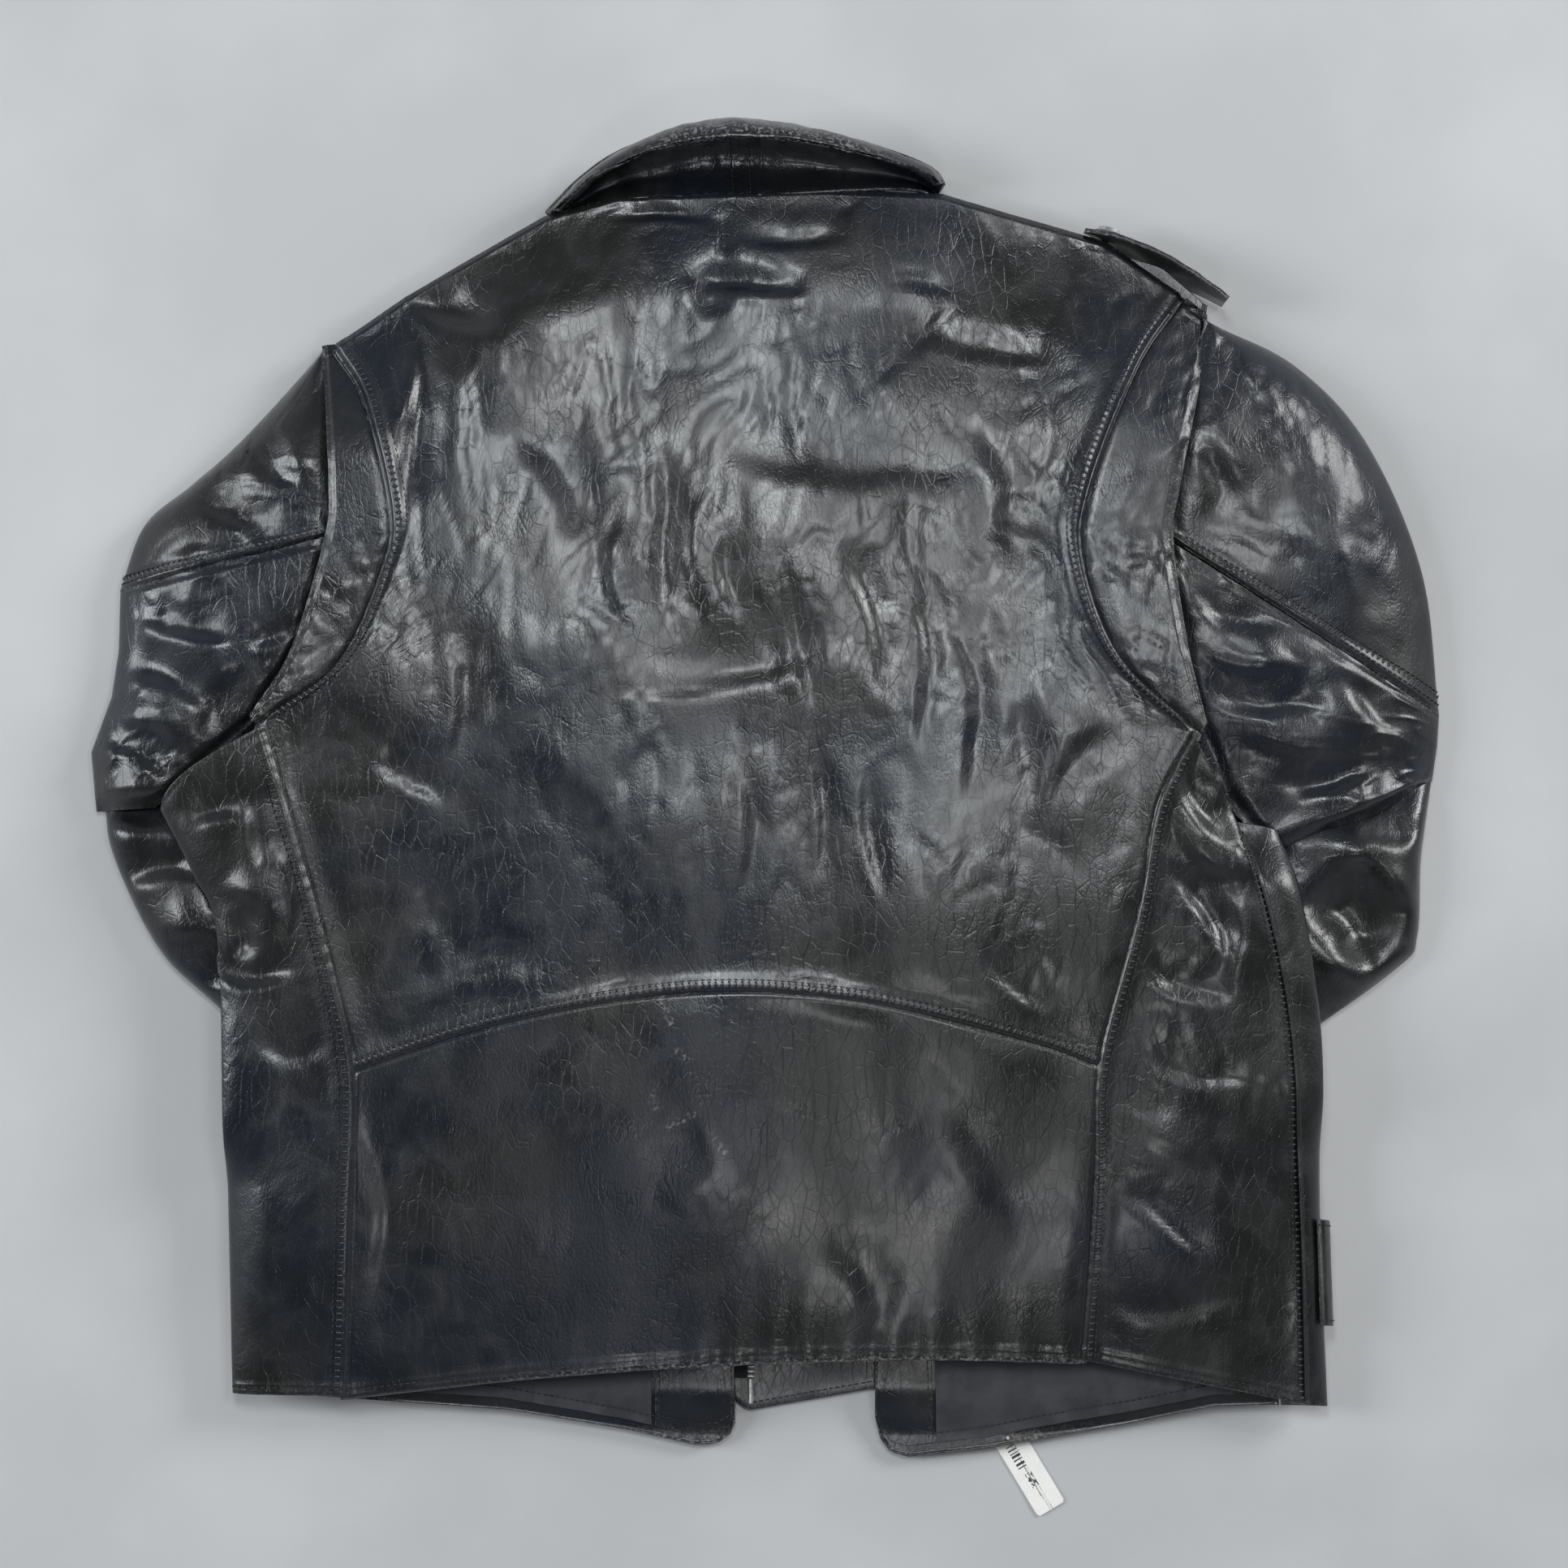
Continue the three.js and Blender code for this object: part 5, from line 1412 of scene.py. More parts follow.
@dataclass
class Fronts:
    """The two fronts that the jacket lies on, with their facings and linings, and the lining of the back."""

    shop: Workshop
    step: float = 4.0
    facing: float = 0.2
    droop: float = 8.0
    top: float = 0.93

    def height(self, x: Array, y: Array, v: Array) -> Array:
        """Height of a front's inner face: its free hem hangs a little lower."""
        made = front_z(x, y) + 9 * smooth_step(v, 0.9, 1) - self.droop * smooth_step(-y, 322, 352)
        return made + 0.7 * lattice(x / 70, y / 80, 101) + 0.35 * lattice(x / 24, y / 30, 102)

    def shell(self, outline: Outline) -> Surface:
        """The outer, lower face of a front."""

        def surface(u: Array, v: Array) -> Array:
            x, y = outline.place(u, v)
            width, height = outline.sizes(u, v)
            turn = 1.2 * (1 - smooth_step(np.minimum(u, 1 - u) * width, 0, 2.5)) * smooth_step(v, -0.1, 0.0)
            turn = turn + 1.2 * (1 - smooth_step(v * height, -0.5, 2.0))
            return np.stack([x, y, self.height(x, y, v) - LEATHER + turn], -1)

        return surface

    def inside(self, outline: Outline, gathered: bool) -> Surface:
        """The upper face of a facing, or of a lining that is gathered towards the hem."""

        def surface(u: Array, v: Array) -> Array:
            x, y = outline.place(u, v * self.top)
            z = self.height(x, y, v * self.top) + CLOTH + 1.2
            if gathered:
                fall = np.exp(-np.maximum(v, 0) * outline.sizes(u, v)[1] / 60)
                z = z + fall * 2.6 * np.abs(lattice(x / 11, y / 46, 104)) + 0.5 * lattice(x / 30, y / 26, 105)
            return np.stack([x, y, z], -1)

        return surface

    def make(self) -> None:
        """Builds both fronts and the back's lining."""
        shop = self.shop
        for side, outline in (("left", LEFT_FRONT), ("right", RIGHT_FRONT)):
            shell = self.shell(outline)
            across, along = reach(250, self.step), reach(600, self.step)
            sheet = Sheet(f"{side}_front_leather", shell, across, along, LEATHER)
            made = sewn(sheet, shop.leather, [f"{side}_front_panel"], "laid", ["belt_strap_leather"], True)
            stored(made, "scuff", 0.6 * np.exp(-np.abs(points_of(made)[:, 1] + 352) / 3))
            near = (1 - self.facing, 1.0) if side == "left" else (0.0, self.facing)
            rest = (0.1, 1 - self.facing) if side == "left" else (self.facing, 0.9)
            parts = (
                ("facing", near, self.inside(outline, False), Slot.LEATHER, shop.leather),
                ("lining", rest, self.inside(outline, True), Slot.LINING, shop.lining),
            )
            for part, (first, last), face, slot, material in parts:
                gap = 1.0 / 250
                us = mix(first + gap, last - gap, reach(250 * (last - first), 2.6))
                vs = mix(0.012, 0.998, reach(540, 3.6))
                sheet = Sheet(f"{side}_front_{part}_cloth", face, us, vs, CLOTH)
                sewn(sheet, material, [f"{side}_front_{part}"], "laid", [f"{side}_front_leather"], slot=slot)
            face, gathered = self.inside(outline, False), self.inside(outline, True)
            across = np.linspace(near[0] + 0.02, near[1] - 0.02, 40)
            shop.sew("front_stitching", on_surface(face, across, 0.024))
            free = near[1] - 0.018 if side == "left" else near[0] + 0.018
            joint = near[0] + 0.014 if side == "left" else near[1] - 0.014
            for u in (free, joint):
                shop.sew("front_stitching", on_surface(face, u, np.linspace(0.02, 0.97, 240)))
            shop.sew("front_stitching", on_surface(gathered, np.linspace(*sorted(rest), 90), 0.022))
            edge = 6 / 270
            u = 1 - edge if side == "left" else edge
            shop.sew("front_stitching", on_surface(shell, u, np.linspace(0.01, 0.98, 240), -0.2))

        def behind(u: Array, v: Array) -> Array:
            x, y = INNER_BACK.place(u, v)
            z = back_z(y) + broad(x, y) - LEATHER - 7.0 - 8 * smooth_step(v, 0.86, 1)
            sag = 1.6 * np.abs(lattice(x / 34, y / 60, 110))
            return np.stack([x, y, z - sag + 0.8 * lattice(x / 80, y / 90, 111)], -1)

        sheet = Sheet("back_lining_cloth", behind, reach(400, 5), reach(620, 5), CLOTH)
        sewn(sheet, shop.lining, ["back_lining"], "laid", ["left_front_leather"], slot=Slot.LINING)


# ------------------------------------------------------------------ sleeves
SLEEVE_SECTION = Curve(
    [(0, 1), (0.3, 0.98), (0.6, 0.88), (0.82, 0.68), (0.95, 0.45),
     (1, 0.25), (0.97, 0.08), (0.9, 0), (0.45, 0), (0, 0)]
)
FOREARM_SECTION = Curve(
    [(0, 0), (-0.86, 0), (-0.96, 0.08), (-1, 0.35), (-0.88, 0.75), (-0.55, 0.96), (0, 1),
     (0.55, 0.96), (0.88, 0.75), (1, 0.35), (0.96, 0.08), (0.86, 0), (0, 0)]
)


@dataclass
class Sleeve:
    """One arm: an upper and a lower piece joined at a double-stitched seam, a tucked forearm and its cuff."""

    shop: Workshop
    side: str
    head: Curve
    top: Curve
    below: Curve
    low: Curve
    forearm: tuple[Curve, Curve]
    step: float = 2.5
    cuff_from: float = 0.86

    def half(self, inner: Curve, outer: Curve, upper: bool) -> Surface:
        """Half of the flattened sleeve, from the armhole over its outer fold and under."""

        def surface(u: Array, v: Array) -> Array:
            share = mix(-0.03, 0.995, v) if upper else mix(0.0, 1.06, v)
            a, b = inner.at(share), outer.at(share)
            section = SLEEVE_SECTION.at(u)
            place = mix(a, b, section[..., :1])
            x, y = place[..., 0], place[..., 1]
            crown = mix(32.0, SLEEVE_TOP, smooth_step(share, 0, 0.6))
            if not upper:
                crown = mix(SLEEVE_TOP, 31.0, smooth_step(share, 0.3, 1))
            width = np.maximum(np.linalg.norm(b - a, axis=-1), 4)
            inwards = section[..., 0] * width
            rise = smooth_step(section[..., 1], 0.1, 0.8)
            puff = folds_at(SLEEVE_FOLDS, x, y) + 1.15 * hide(x, y, 121 if self.side == "left" else 131, 1.0)
            crumple = 1.4 * lattice(x / 30, y / 24, 125) + 1.3 * creases(x, y, 12, 30, 80, 126)
            puff = puff + crumple * (0.35 if upper else 1.0)
            z = section[..., 1] * crown + rise * puff
            z = z - 3.0 * (1 - smooth_step(inwards, -2, 8)) * rise
            if not upper:
                z = z - 13 * smooth_step(v, 0.9, 1.02) * rise
            if upper:
                z = z + Seam.OVER.height((1 - v) * outer.length, inwards) * rise
            else:
                z = z + Seam.UNDER.height(v * outer.length, inwards) * rise
            return np.stack([x, y, np.maximum(z, 0.3 * section[..., 1] + 0.06)], -1)

        return surface

    def limb(self, first: float, last: float, folds: float) -> Surface:
        """A stretch of the forearm as a tube, closed along a seam underneath."""
        outer, inner = self.forearm

        def surface(u: Array, v: Array) -> Array:
            share = mix(first, last, v)
            a, b = outer.at(share), inner.at(share)
            section = FOREARM_SECTION.at(mix(0.002, 0.998, u))
            place = mix(a, b, (1 + section[..., :1]) / 2)
            x, y = place[..., 0], place[..., 1]
            rise = smooth_step(section[..., 1], 0.1, 0.8)
            crumple = folds_at(FOREARM_FOLDS, x, y) + hide(x, y, 141) + 0.9 * lattice(x / 28, y / 30, 144)
            tall = mix(9.0, FOREARM_TOP, smooth_step(share, -0.04, 0.09)) - 4 * share
            z = section[..., 1] * tall + rise * folds * crumple
            return np.stack([x, y, np.maximum(z, 0.06)], -1)

        return surface

    def make(self) -> None:
        """Builds the pieces and the double stitching along the seam between them."""
        shop, side = self.shop, self.side
        left = side == "left"
        upper, lower = self.half(self.head, self.top, True), self.half(self.below, self.low, False)
        us = reach(210, self.step, 4, 0)
        for name, face, length in (("upper_sleeve", upper, 185), ("lower_sleeve", lower, 150)):
            over = (1.0, 1.8) if name == "upper_sleeve" else (2.0, 1.0)
            sheet = Sheet(f"{side}_{name}_leather", face, us, reach(length, self.step, *over), LEATHER)
            sewn(sheet, shop.leather, [f"{side}_{name}"], "folded", [f"{side}_forearm_leather"], not left)
        t = np.linspace(0.02, 0.56, 90)
        for inset in (2.4, 7.2):
            shop.sew("sleeve_stitching", on_surface(upper, t, 1 - inset / 185, 0.3 if left else -0.3))
        shop.sew("seam_puckers", on_surface(upper, t, 1 - 4.8 / 185, -0.1 if left else 0.1))
        long = self.limb(-0.05, self.cuff_from, 1)
        cuff = self.limb(self.cuff_from + 0.004, 1, 0.15)
        pieces = (
            ("forearm", long, 250, LEATHER, "forearm_sleeve"),
            ("cuff", cuff, 42, LEATHER + 0.8, "cuff"),
        )
        for name, face, length, thick, node in pieces:
            sheet = Sheet(f"{side}_{name}_leather", face, reach(190, 2.8), reach(length, self.step), thick)
            sewn(sheet, shop.leather, [f"{side}_{node}"], "folded", [f"{side}_front_leather"], True)
        around = np.linspace(0.03, 0.97, 90)
        for v in (0.12, 0.88):
            shop.sew("sleeve_stitching", on_surface(cuff, around, v, -0.3))
        band = np.linspace(0.3, 0.62, 50)
        for v in (0.03, 0.055):
            shop.sew("sleeve_stitching", on_surface(long, band, v, -0.3))


# ------------------------------------------------------------------ collar and epaulettes
@dataclass
class Collar:
    """The collar: its stand, seamed at the middle of the neck, and the fall that curls up from its roll."""

    shop: Workshop
    end: float = 0.012
    step: float = 2.2

    @staticmethod
    def drop(v: Array) -> Array:
        """How much lower the collar is towards its ends."""
        return 16 * (1 - np.sqrt(np.clip(np.sin(math.pi * v), 0, 1)))

    def stand(self, u: Array, v: Array) -> Array:
        """The stand, from the neck seam out to the roll."""
        share = mix(self.end, 1 - self.end, v)
        a, b = NECK.at(share), COLLAR_ROLL.at(share)
        x, y = mix(a[..., 0], b[..., 0], u), mix(a[..., 1] - 1.0, b[..., 1], u)
        z = mix(34.0, ROLL_Z, u) - 17 * np.sin(math.pi * np.clip(u, 0, 1)) - self.drop(share) * 0.8
        seam = 0.9 * np.exp(-(((x + 2.5) / 1.6) ** 2)) - 1.2 * np.exp(-(((x + 6) / 1.1) ** 2))
        return np.stack([x, y, z + 0.5 * hide(x, y, 151) + seam + 1.0 * lattice(x / 13, y / 30, 152)], -1)

    def fall(self, u: Array, v: Array) -> Array:
        """The fall, from the roll up to its free edge."""
        share = mix(self.end, 1 - self.end, v)
        a, b = COLLAR_ROLL.at(share), COLLAR_EDGE.at(share)
        arch = np.sin(math.pi * share)
        ease = np.clip(u, 0, 1)
        rise = (COLLAR_TOP - ROLL_Z) * np.power(np.sin(ease * math.pi / 2), 0.9)
        z = ROLL_Z + 1.2 + rise * (0.25 + 0.75 * np.power(arch, 0.6)) - self.drop(share) * 0.8
        x = mix(a[..., 0], b[..., 0], u)
        y = mix(a[..., 1] + 0.8, b[..., 1], u) + 3 * np.sin(math.pi * ease) * arch
        wave = 0.8 * lattice(share * 11, u * 1.5, 155) + 0.35 * lattice(share * 34, u * 3, 156)
        lip = 1.1 * smooth_step(u, 0.9, 0.97) - 0.9 * np.exp(-(((u - 0.86) / 0.02) ** 2))
        return np.stack([x, y + wave + lip, z + wave], -1)

    def make(self) -> None:
        """Builds the stand and the fall, with their topstitching and the worn top of the fall."""
        leather = self.shop.leather
        along = reach(250, self.step)
        sheet = Sheet("collar_stand_leather", self.stand, reach(40, 1.8), along, LEATHER * 1.4)
        sewn(sheet, leather, ["collar_stand"], "folded", ["upper_back_leather"], True)
        sheet = Sheet("collar_fall_leather", self.fall, reach(44, 1.4), along, LEATHER * 1.8)
        made = sewn(sheet, leather, ["collar_fall"], "folded", ["collar_stand_leather"])
        x = points_of(made)[:, 0]
        mottled = smooth_step(x, -85, -40) * (1 - smooth_step(x, 46, 80))
        stored(made, "scuff", 0.75 * mottled * smooth_step(points_of(made)[:, 2], 42, 60))
        t = np.linspace(0.02, 0.98, 150)
        for u in (0.85, 0.93):
            self.shop.sew("collar_stitching", on_surface(self.fall, u, t, 0.25))
            self.shop.sew("collar_stitching", on_surface(self.fall, u, t, -LEATHER * 1.8 - 0.25))
        middle = np.linspace(0.06, 0.8, 20)
        for aside in (-5.5, 5.5):
            self.shop.sew("collar_stitching", on_surface(self.stand, middle, 0.5 + aside / 250, -0.25))


@dataclass
class Epaulettes:
    """The shoulder straps: the right one stands on its edge, and the left one lies under the shoulder."""

    shop: Workshop
    thick: float = LEATHER * 1.8
    sewn: Place = (262, 296)
    free: Place = (182, 337)

    def band(self, u: Array, v: Array) -> Array:
        """The right strap, from its upper edge down, and from its sewn end to its tip."""
        arch = 1 + 6 * np.sin(math.pi * v) - 6 * u * np.sin(math.pi * v)
        x = mix(self.sewn[0], self.free[0], v) + 0.46 * arch
        y = mix(self.sewn[1], self.free[1], v) + 0.888 * arch
        tip = smooth_step(v, 0.84, 1.0) * 11
        high, low = 46 - 6 * v - tip, 12 + tip
        wave = 0.7 * lattice(v * 7, u * 1.2, 161)
        return np.stack([x + wave * 0.46, y + wave * 0.888, mix(high, low, u)], -1)

    def flat(self, u: Array, v: Array) -> Array:
        """The left strap, flat under the shoulder, seen from below."""
        lean = math.atan2(62, 110)
        long = u * 106
        half = mix(22.0, 17.0, np.minimum(long / 88, 1)) * (1 - 0.93 * smooth_step(long, 86, 107))
        across = (v - 0.5) * 2 * half
        x = -226 + long * math.cos(lean) - across * math.sin(lean)
        y = 246 + long * math.sin(lean) + across * math.cos(lean)
        return np.stack([x, y, 9.6 + 0.5 * lattice(long / 20, across / 20, 163)], -1)

    def make(self) -> None:
        """Builds both straps and stitches their edges."""
        leather = self.shop.leather
        pieces = (
            ("right", self.band, reach(34, 1.3), reach(94, 1.8)),
            ("left", self.flat, reach(106, 1.8), reach(40, 1.5)),
        )
        for side, face, us, vs in pieces:
            body = f"{side}_epaulette"
            sheet = Sheet(f"{side}_epaulette_leather", face, us, vs, self.thick)
            made = sheet.build(leather, flip=side == "left")
            dress(made, Slot.LEATHER, [body], body)
            row = f"{side}_epaulette_stitching"
            t = np.linspace(0.04, 0.93, 50)
            for edge in (0.1, 0.9):
                u, v = (edge, t) if side == "right" else (t, edge)
                self.shop.sew(row, on_surface(face, u, v, 0.25 if side == "right" else -0.25), body)


# ------------------------------------------------------------------ belt
@dataclass
class Belt:
    """The belt under the hem: its strap, the strap that holds the buckle, and the loops that carry them."""

    shop: Workshop
    width: float = 44.0
    thick: float = 2.4
    base: float = 2.2
    slope: float = math.radians(10)
    starts: dict = field(default_factory=lambda: {"right": (286, -263), "left": (-262, -269)})
    loops: dict = field(default_factory=lambda: {"right": (24, 118), "left": (16, 84)})
    length: float = 322.0
    tip: float = 20.0
    bar: float = 130.0

    def placed(self, side: str, along: Array, across: Array, z: Array) -> Array:
        """Places on the belt's own axes, turned into the jacket's."""
        turn = math.pi + self.slope if side == "right" else -self.slope
        x0, y0 = self.starts[side]
        x = x0 + along * math.cos(turn) - across * math.sin(turn)
        return np.stack([x, y0 + along * math.sin(turn) + across * math.cos(turn), z + 0 * x], -1)

    def strap(self, u: Array, v: Array) -> Array:
        """The long strap, pointed at its end."""
        along = u * self.length
        half = self.width / 2 * (1 - 0.92 * smooth_step(along, self.length - self.tip, self.length + 2))
        sag = 0.35 * lattice(along / 40, v * 1.3, 171)
        crown = 0.5 * (1 - np.abs(2 * v - 1) ** 6)
        return self.placed("right", along, (v - 0.5) * 2 * half, self.base + self.thick - 0.4 + sag + crown)

    def buckle_end(self, u: Array, v: Array, low: float, high: float) -> Array:
        """A width of the buckle strap, which folds round the buckle's bar and back."""
        middle, radius = self.base + self.thick / 2, 3.4
        straight = self.bar - 4.5
        fold = np.clip((u - 0.82) / 0.18, 0, 1)
        turn = math.pi * (0.75 - 1.55 * fold)
        along = np.where(u < 0.82, u / 0.82 * straight, self.bar + radius * np.cos(turn))
        z = np.where(u < 0.82, middle + 1.2, middle + radius * np.sin(turn))
        return self.placed("left", along, mix(low, high, v), z)

    def loop(self, side: str, start: float) -> Surface:
        """A loop: a strip under the belt whose ends rise on both sides to the front."""
        half, top = self.width / 2 + 3.8, FRONT_Z - LEATHER - 0.8
        foot = [(-half, 2.4), (-half + 2, 0.4), (half - 2, 0.4), (half, 2.4)]
        path = Curve([(-half, top), *foot, (half, top)], False)

        def surface(u: Array, v: Array) -> Array:
            p = path.at(u)
            return self.placed(side, start + v * 20 + p[..., 0] * 0, p[..., 0], p[..., 1])

        return surface

    def make(self) -> None:
        """Builds the straps and the loops."""
        shop = self.shop
        sheet = Sheet("belt_strap_leather", self.strap, reach(322, 2.8), reach(44, 2.2), self.thick - 0.6)
        made = sheet.build(shop.leather)
        dress(made, Slot.LEATHER, ["belt_strap"])
        t = np.linspace(0.02, 0.93, 130)
        for v in (0.09, 0.91):
            shop.sew("belt_stitching", on_surface(self.strap, t, v))
            shop.sew("belt_stitching", on_surface(self.strap, t, v, -self.thick + 0.3))
        halves = []
        for low, high in ((-16.0, -3.5), (3.5, 16.0)):

            def face(u: Array, v: Array, low: float = low, high: float = high) -> Array:
                return self.buckle_end(u, v, low, high)

            us = np.concatenate([np.linspace(0, 0.82, 30), np.linspace(0.83, 1, 22)])
            name = f"buckle_strap_{'front' if low < 0 else 'back'}"
            halves.append(Sheet(name, face, us, np.linspace(0, 1, 7), 0.9))

        def root(u: Array, v: Array) -> Array:
            return self.buckle_end(u * 0.7, v, -16.0, 16.0)

        flat = Sheet("buckle_strap_leather", root, reach(90, 2.5), reach(32, 2.0), 2.0)
        made = flat.build(shop.leather)
        dress(made, Slot.LEATHER, ["buckle_strap"])
        for half in halves:
            dress(half.build(shop.leather), Slot.LEATHER)
        t = np.linspace(0.02, 0.95, 50)
        for v in (0.1, 0.9):
            shop.sew("belt_stitching", on_surface(flat.surface, t, v))
        for side, starts in self.loops.items():
            for number, start in enumerate(starts, 1):
                name = f"{side}_belt_loop_{number}"
                sheet = Sheet(f"{name}_leather", self.loop(side, start), reach(70, 1.6), reach(20, 1.6), 1.4)
                dress(sheet.build(shop.leather, flip=True), Slot.LEATHER, [name])


# ------------------------------------------------------------------ zips
@dataclass
class Zips:
    """The main zip, open with half of it on each front, and the two slanted pocket zips."""

    shop: Workshop
    chain_z: float = 9.6
    chain_thick: float = 3.0
    chain_width: float = 5.0
    pitch: float = 2.8
    tape_width: float = 13.0

    def half(self, label: str, middle: Place, turn: float, low: float, high: float, toward: int) -> None:
        """One row of teeth on its tape.

        Args:
            label: The start of the pieces' names.
            middle: Where the zip's own axes start.
            turn: Its lean in degrees.
            low: Where the row starts along it.
            high: Where it ends.
            toward: The side of the teeth where the tape lies, +1 for +X.
        """
        c, s = math.cos(math.radians(turn)), math.sin(math.radians(turn))
        z = self.chain_z + self.chain_thick / 2

        def placed(across: Array, along: Array, height: Array) -> Array:
            x = middle[0] + across * c - along * s
            return np.stack([x, middle[1] + across * s + along * c, height + 0 * x], -1)

        t = np.linspace(low + 1.2, high - 1.2, 60)
        teeth = set_along(
            f"{label}_metal_teeth", [placed(t * 0, t, z)], row_tree(Unit.TOOTH, self.shop.nickel), self.pitch,
            (self.chain_width * 0.92, self.chain_thick * 0.95, 1.7),
        )
        dress(teeth, Slot.METAL, [f"{label}_teeth"])

        def tape(u: Array, v: Array) -> Array:
            across = toward * mix(1.5, self.chain_width / 2 + self.tape_width, u)
            cord = 0.25 * np.exp(-(((u - 0.1) / 0.05) ** 2))
            wave = 0.12 * lattice(u * 3, v * 22, 181)
            return placed(across, mix(low, high + 4, v), z + 0.4 + cord + wave)

        along = np.linspace(0, 1, max(int((high - low) / 4), 8))
        sheet = Sheet(f"{label}_woven_tape", tape, reach(15, 1.2), along, 0.8)
        dress(sheet.build(self.shop.tape, flip=toward < 0), Slot.TAPE, [f"{label}_tape"])

    def make(self) -> None:
        """Builds the two halves of the main zip and the two pocket zips, each a row of teeth on its tape."""
        self.half("left_main_zip", (-8, 0), 0, -318, 168, -1)
        self.half("right_main_zip", (92, 0), 0, -318, 168, 1)
        self.half("left_pocket_zip", (-132, 6), -24, -56, 56, -1)
        self.half("right_pocket_zip", (150, 6), 24, -56, 56, 1)


def finish_hardware(shop: Workshop) -> None:
    """Gives the frame's own metal and nylon pieces their finish."""
    plated = ["belt_buckle_frame", "belt_buckle_prong", "right_epaulette_snap", "left_epaulette_snap"]
    nickel = [
        "main_zip_slider", "main_zip_pull", "left_pocket_slider", "left_pocket_pull", "right_pocket_slider",
        "right_pocket_pull", "zip_insertion_pin", "zip_retainer_box",
    ]
    for names, material in ((plated, shop.chrome), (nickel, shop.nickel), (["tag_fastener"], shop.nylon)):
        for name in names:
            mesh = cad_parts[name].data
            mesh.materials.clear()
            mesh.materials.append(material)
            LOG.info("%s: refinished", name)


@dataclass
class ShopTag:
    """The white card that hangs from the hem, with its corners rounded and one curled up."""

    shop: Workshop
    corner: Place = (136, -347)
    turn: float = math.radians(31)
    width: float = 18.0
    length: float = 56.0

    def surface(self, u: Array, v: Array) -> Array:
        """The card's upper face."""
        across, along = (u - 0.5) * self.width, (v - 1) * self.length
        near = np.minimum(v, 1 - v) * self.length
        across = across * (1 - 0.12 * (1 - smooth_step(near, 0, 2)))
        x = self.corner[0] + across * math.cos(self.turn) - along * math.sin(self.turn)
        y = self.corner[1] + across * math.sin(self.turn) + along * math.cos(self.turn)
        curl = 0.5 * smooth_step(1 - v, 0.5, 1) ** 2 + 0.12 * lattice(u * 2, v * 4, 191)
        return np.stack([x, y, 0.95 + curl], -1)

    def make(self) -> None:
        """Builds the card."""
        sheet = Sheet("printed_tag_card", self.surface, reach(18, 0.9), reach(56, 1.2), 0.45)
        dress(sheet.build(self.shop.card), Slot.PAPER, ["paper_tag"], "paper_tag")


# ------------------------------------------------------------------ stitching, studio and camera
@dataclass
class Stitching:
    """All the topstitching, sewn once every panel is in place."""

    shop: Workshop
    pitch: float = 3.7
    size: tuple[float, float, float] = (0.8, 0.9, 2.9)
    ridge: tuple[float, float, float] = (4.6, 1.1, 1.9)

    def make(self) -> None:
        """Sews one mesh of stitches for each named row, and the small ridges of leather that they draw up."""
        thread, drawn = (row_tree(Unit.STITCH, finish) for finish in (self.shop.thread, self.shop.leather))
        for row, lines in self.shop.seams.items():
            puckers = row == "seam_puckers"
            tree, size = (drawn, self.ridge) if puckers else (thread, self.size)
            piece = set_along(row, lines, tree, self.pitch, size)
            dress(piece, Slot.LEATHER, [], self.shop.bodies[row])


@dataclass(frozen=True)
class Panel:
    """A soft light panel: its place, where it points, its size and its power."""

    name: str
    place: tuple[float, float, float]
    aim: tuple[float, float, float]
    size: tuple[float, float]
    watts: float
    colour: tuple[float, float, float] = (1.0, 1.0, 1.0)


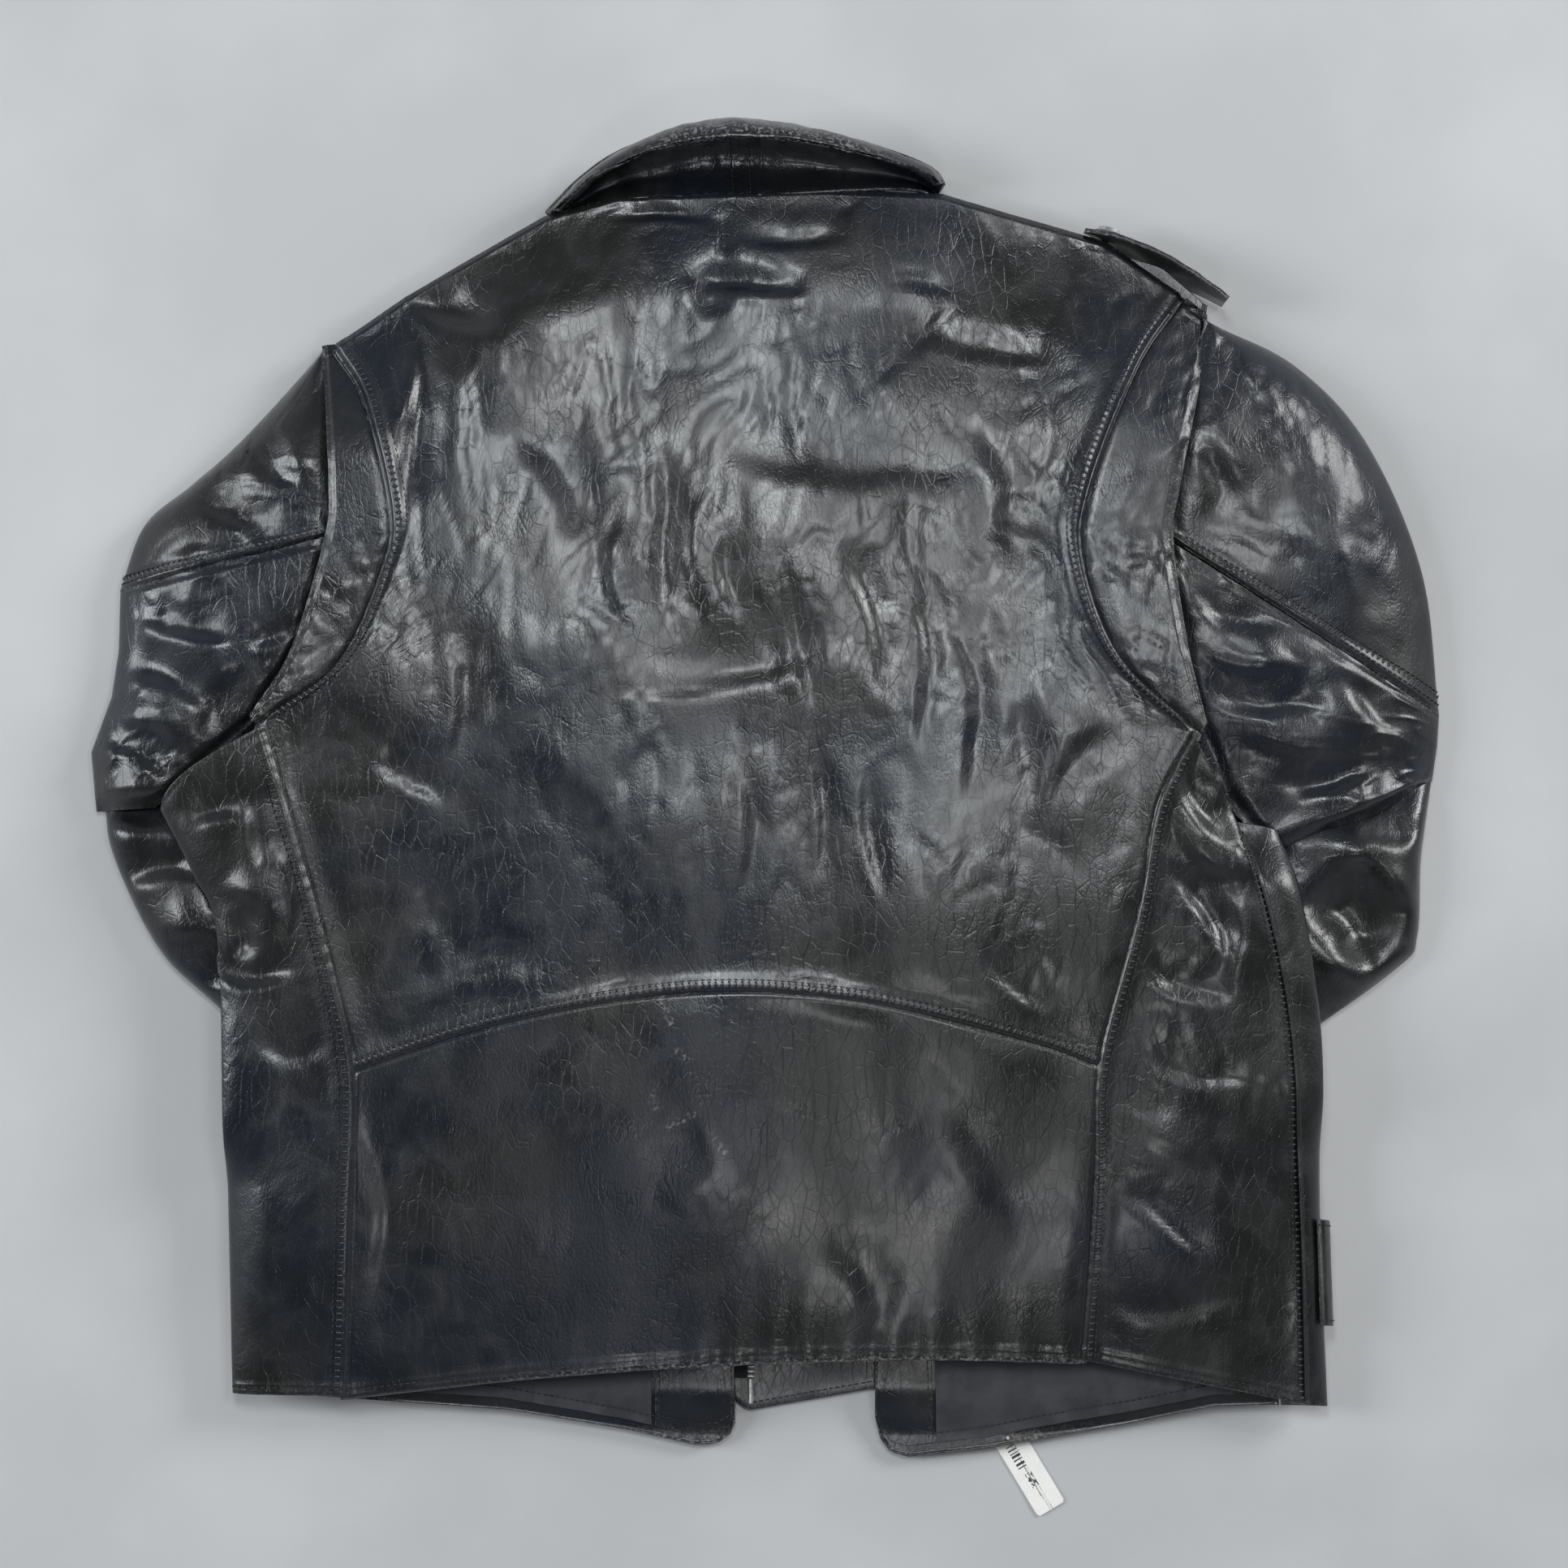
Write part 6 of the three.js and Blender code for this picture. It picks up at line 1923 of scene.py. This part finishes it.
@dataclass
class Studio:
    """A plain pale floor under soft overhead light, seen from straight above."""

    eye: tuple[float, float, float] = (0.011, 0.022, 2.4)
    lens: float = 95.8
    sky: tuple[float, float, float, float] = (0.1, 0.9, 0.60, 0.01)
    panels: tuple[Panel, ...] = (
        Panel("overhead_panel", (-0.10, 0.80, 2.6), (-0.05, 0.1, 0.0), (0.34, 0.42), 17, (0.95, 0.985, 1.0)),
        Panel("side_panel", (0.55, 0.40, 2.6), (0.1, 0.0, 0.0), (0.2, 0.5), 10, (0.95, 0.985, 1.0)),
        Panel("low_panel", (0.16, -0.95, 2.6), (0.1, -0.1, 0.0), (0.4, 0.3), 5),
        Panel("window_panel", (-2.3, 0.3, 1.6), (-0.1, 0.0, 0.0), (0.8, 1.6), 44, (0.93, 0.97, 1.0)),
        Panel("far_panel", (2.3, 1.3, 1.7), (0.1, 0.0, 0.0), (0.9, 1.2), 52),
    )

    def make(self) -> None:
        """Builds the floor, the lights and the camera."""
        scene = bpy.context.scene
        world = bpy.data.worlds.new("soft_daylight")
        world.use_nodes = True
        background = next(n for n in world.node_tree.nodes if n.type == "BACKGROUND")
        background.inputs["Color"].default_value = rgb(0.86, 0.90, 0.96)
        nodes, link = world.node_tree.nodes, world.node_tree.links.new
        split, sky = nodes.new("ShaderNodeSeparateXYZ"), nodes.new("ShaderNodeMapRange")
        link(nodes.new("ShaderNodeTexCoord").outputs["Generated"], split.inputs[0])
        link(split.outputs["Z"], sky.inputs[0])
        for number, value in enumerate(self.sky, 1):
            sky.inputs[number].default_value = value
        link(sky.outputs[0], background.inputs["Strength"])
        scene.world = world
        scene.view_settings.view_transform = "Standard"
        for panel in self.panels:
            data = bpy.data.lights.new(panel.name, "AREA")
            data.shape, data.energy, data.color = "RECTANGLE", panel.watts, panel.colour
            data.size, data.size_y = panel.size
            lamp = linked(panel.name, data)
            lamp.location = panel.place
            ray = Vector(panel.aim) - Vector(panel.place)
            lamp.rotation_euler = ray.to_track_quat("-Z", "Y").to_euler()
        corners = np.array([(-6000, -6000, 0), (6000, -6000, 0), (6000, 6000, 0), (-6000, 6000, 0)], float)
        to_object("plain_floor", corners, [[0, 1, 2, 3]], PaleFloor().make())
        camera = linked("overhead_camera", bpy.data.cameras.new("overhead_camera"))
        camera.location = self.eye
        camera.data.lens = self.lens
        scene.camera = camera


def main() -> None:
    """Builds the jacket, from the back down to the tag, and reports each piece."""
    logging.basicConfig(level=logging.INFO, format="%(name)s %(message)s")
    Studio().make()
    shop = Workshop()
    Back(shop).make()
    Sides(shop).make()
    Fronts(shop).make()
    Sleeve(shop, "left", HEAD_LEFT, SLEEVE_LEFT, BELOW_LEFT, LOW_LEFT, FOREARM_LEFT).make()
    Sleeve(shop, "right", HEAD_RIGHT, SLEEVE_RIGHT, BELOW_RIGHT, LOW_RIGHT, FOREARM_RIGHT).make()
    Collar(shop).make()
    Epaulettes(shop).make()
    Belt(shop).make()
    Zips(shop).make()
    ShopTag(shop).make()
    Stitching(shop).make()
    finish_hardware(shop)


if __name__ == "__main__":
    main()
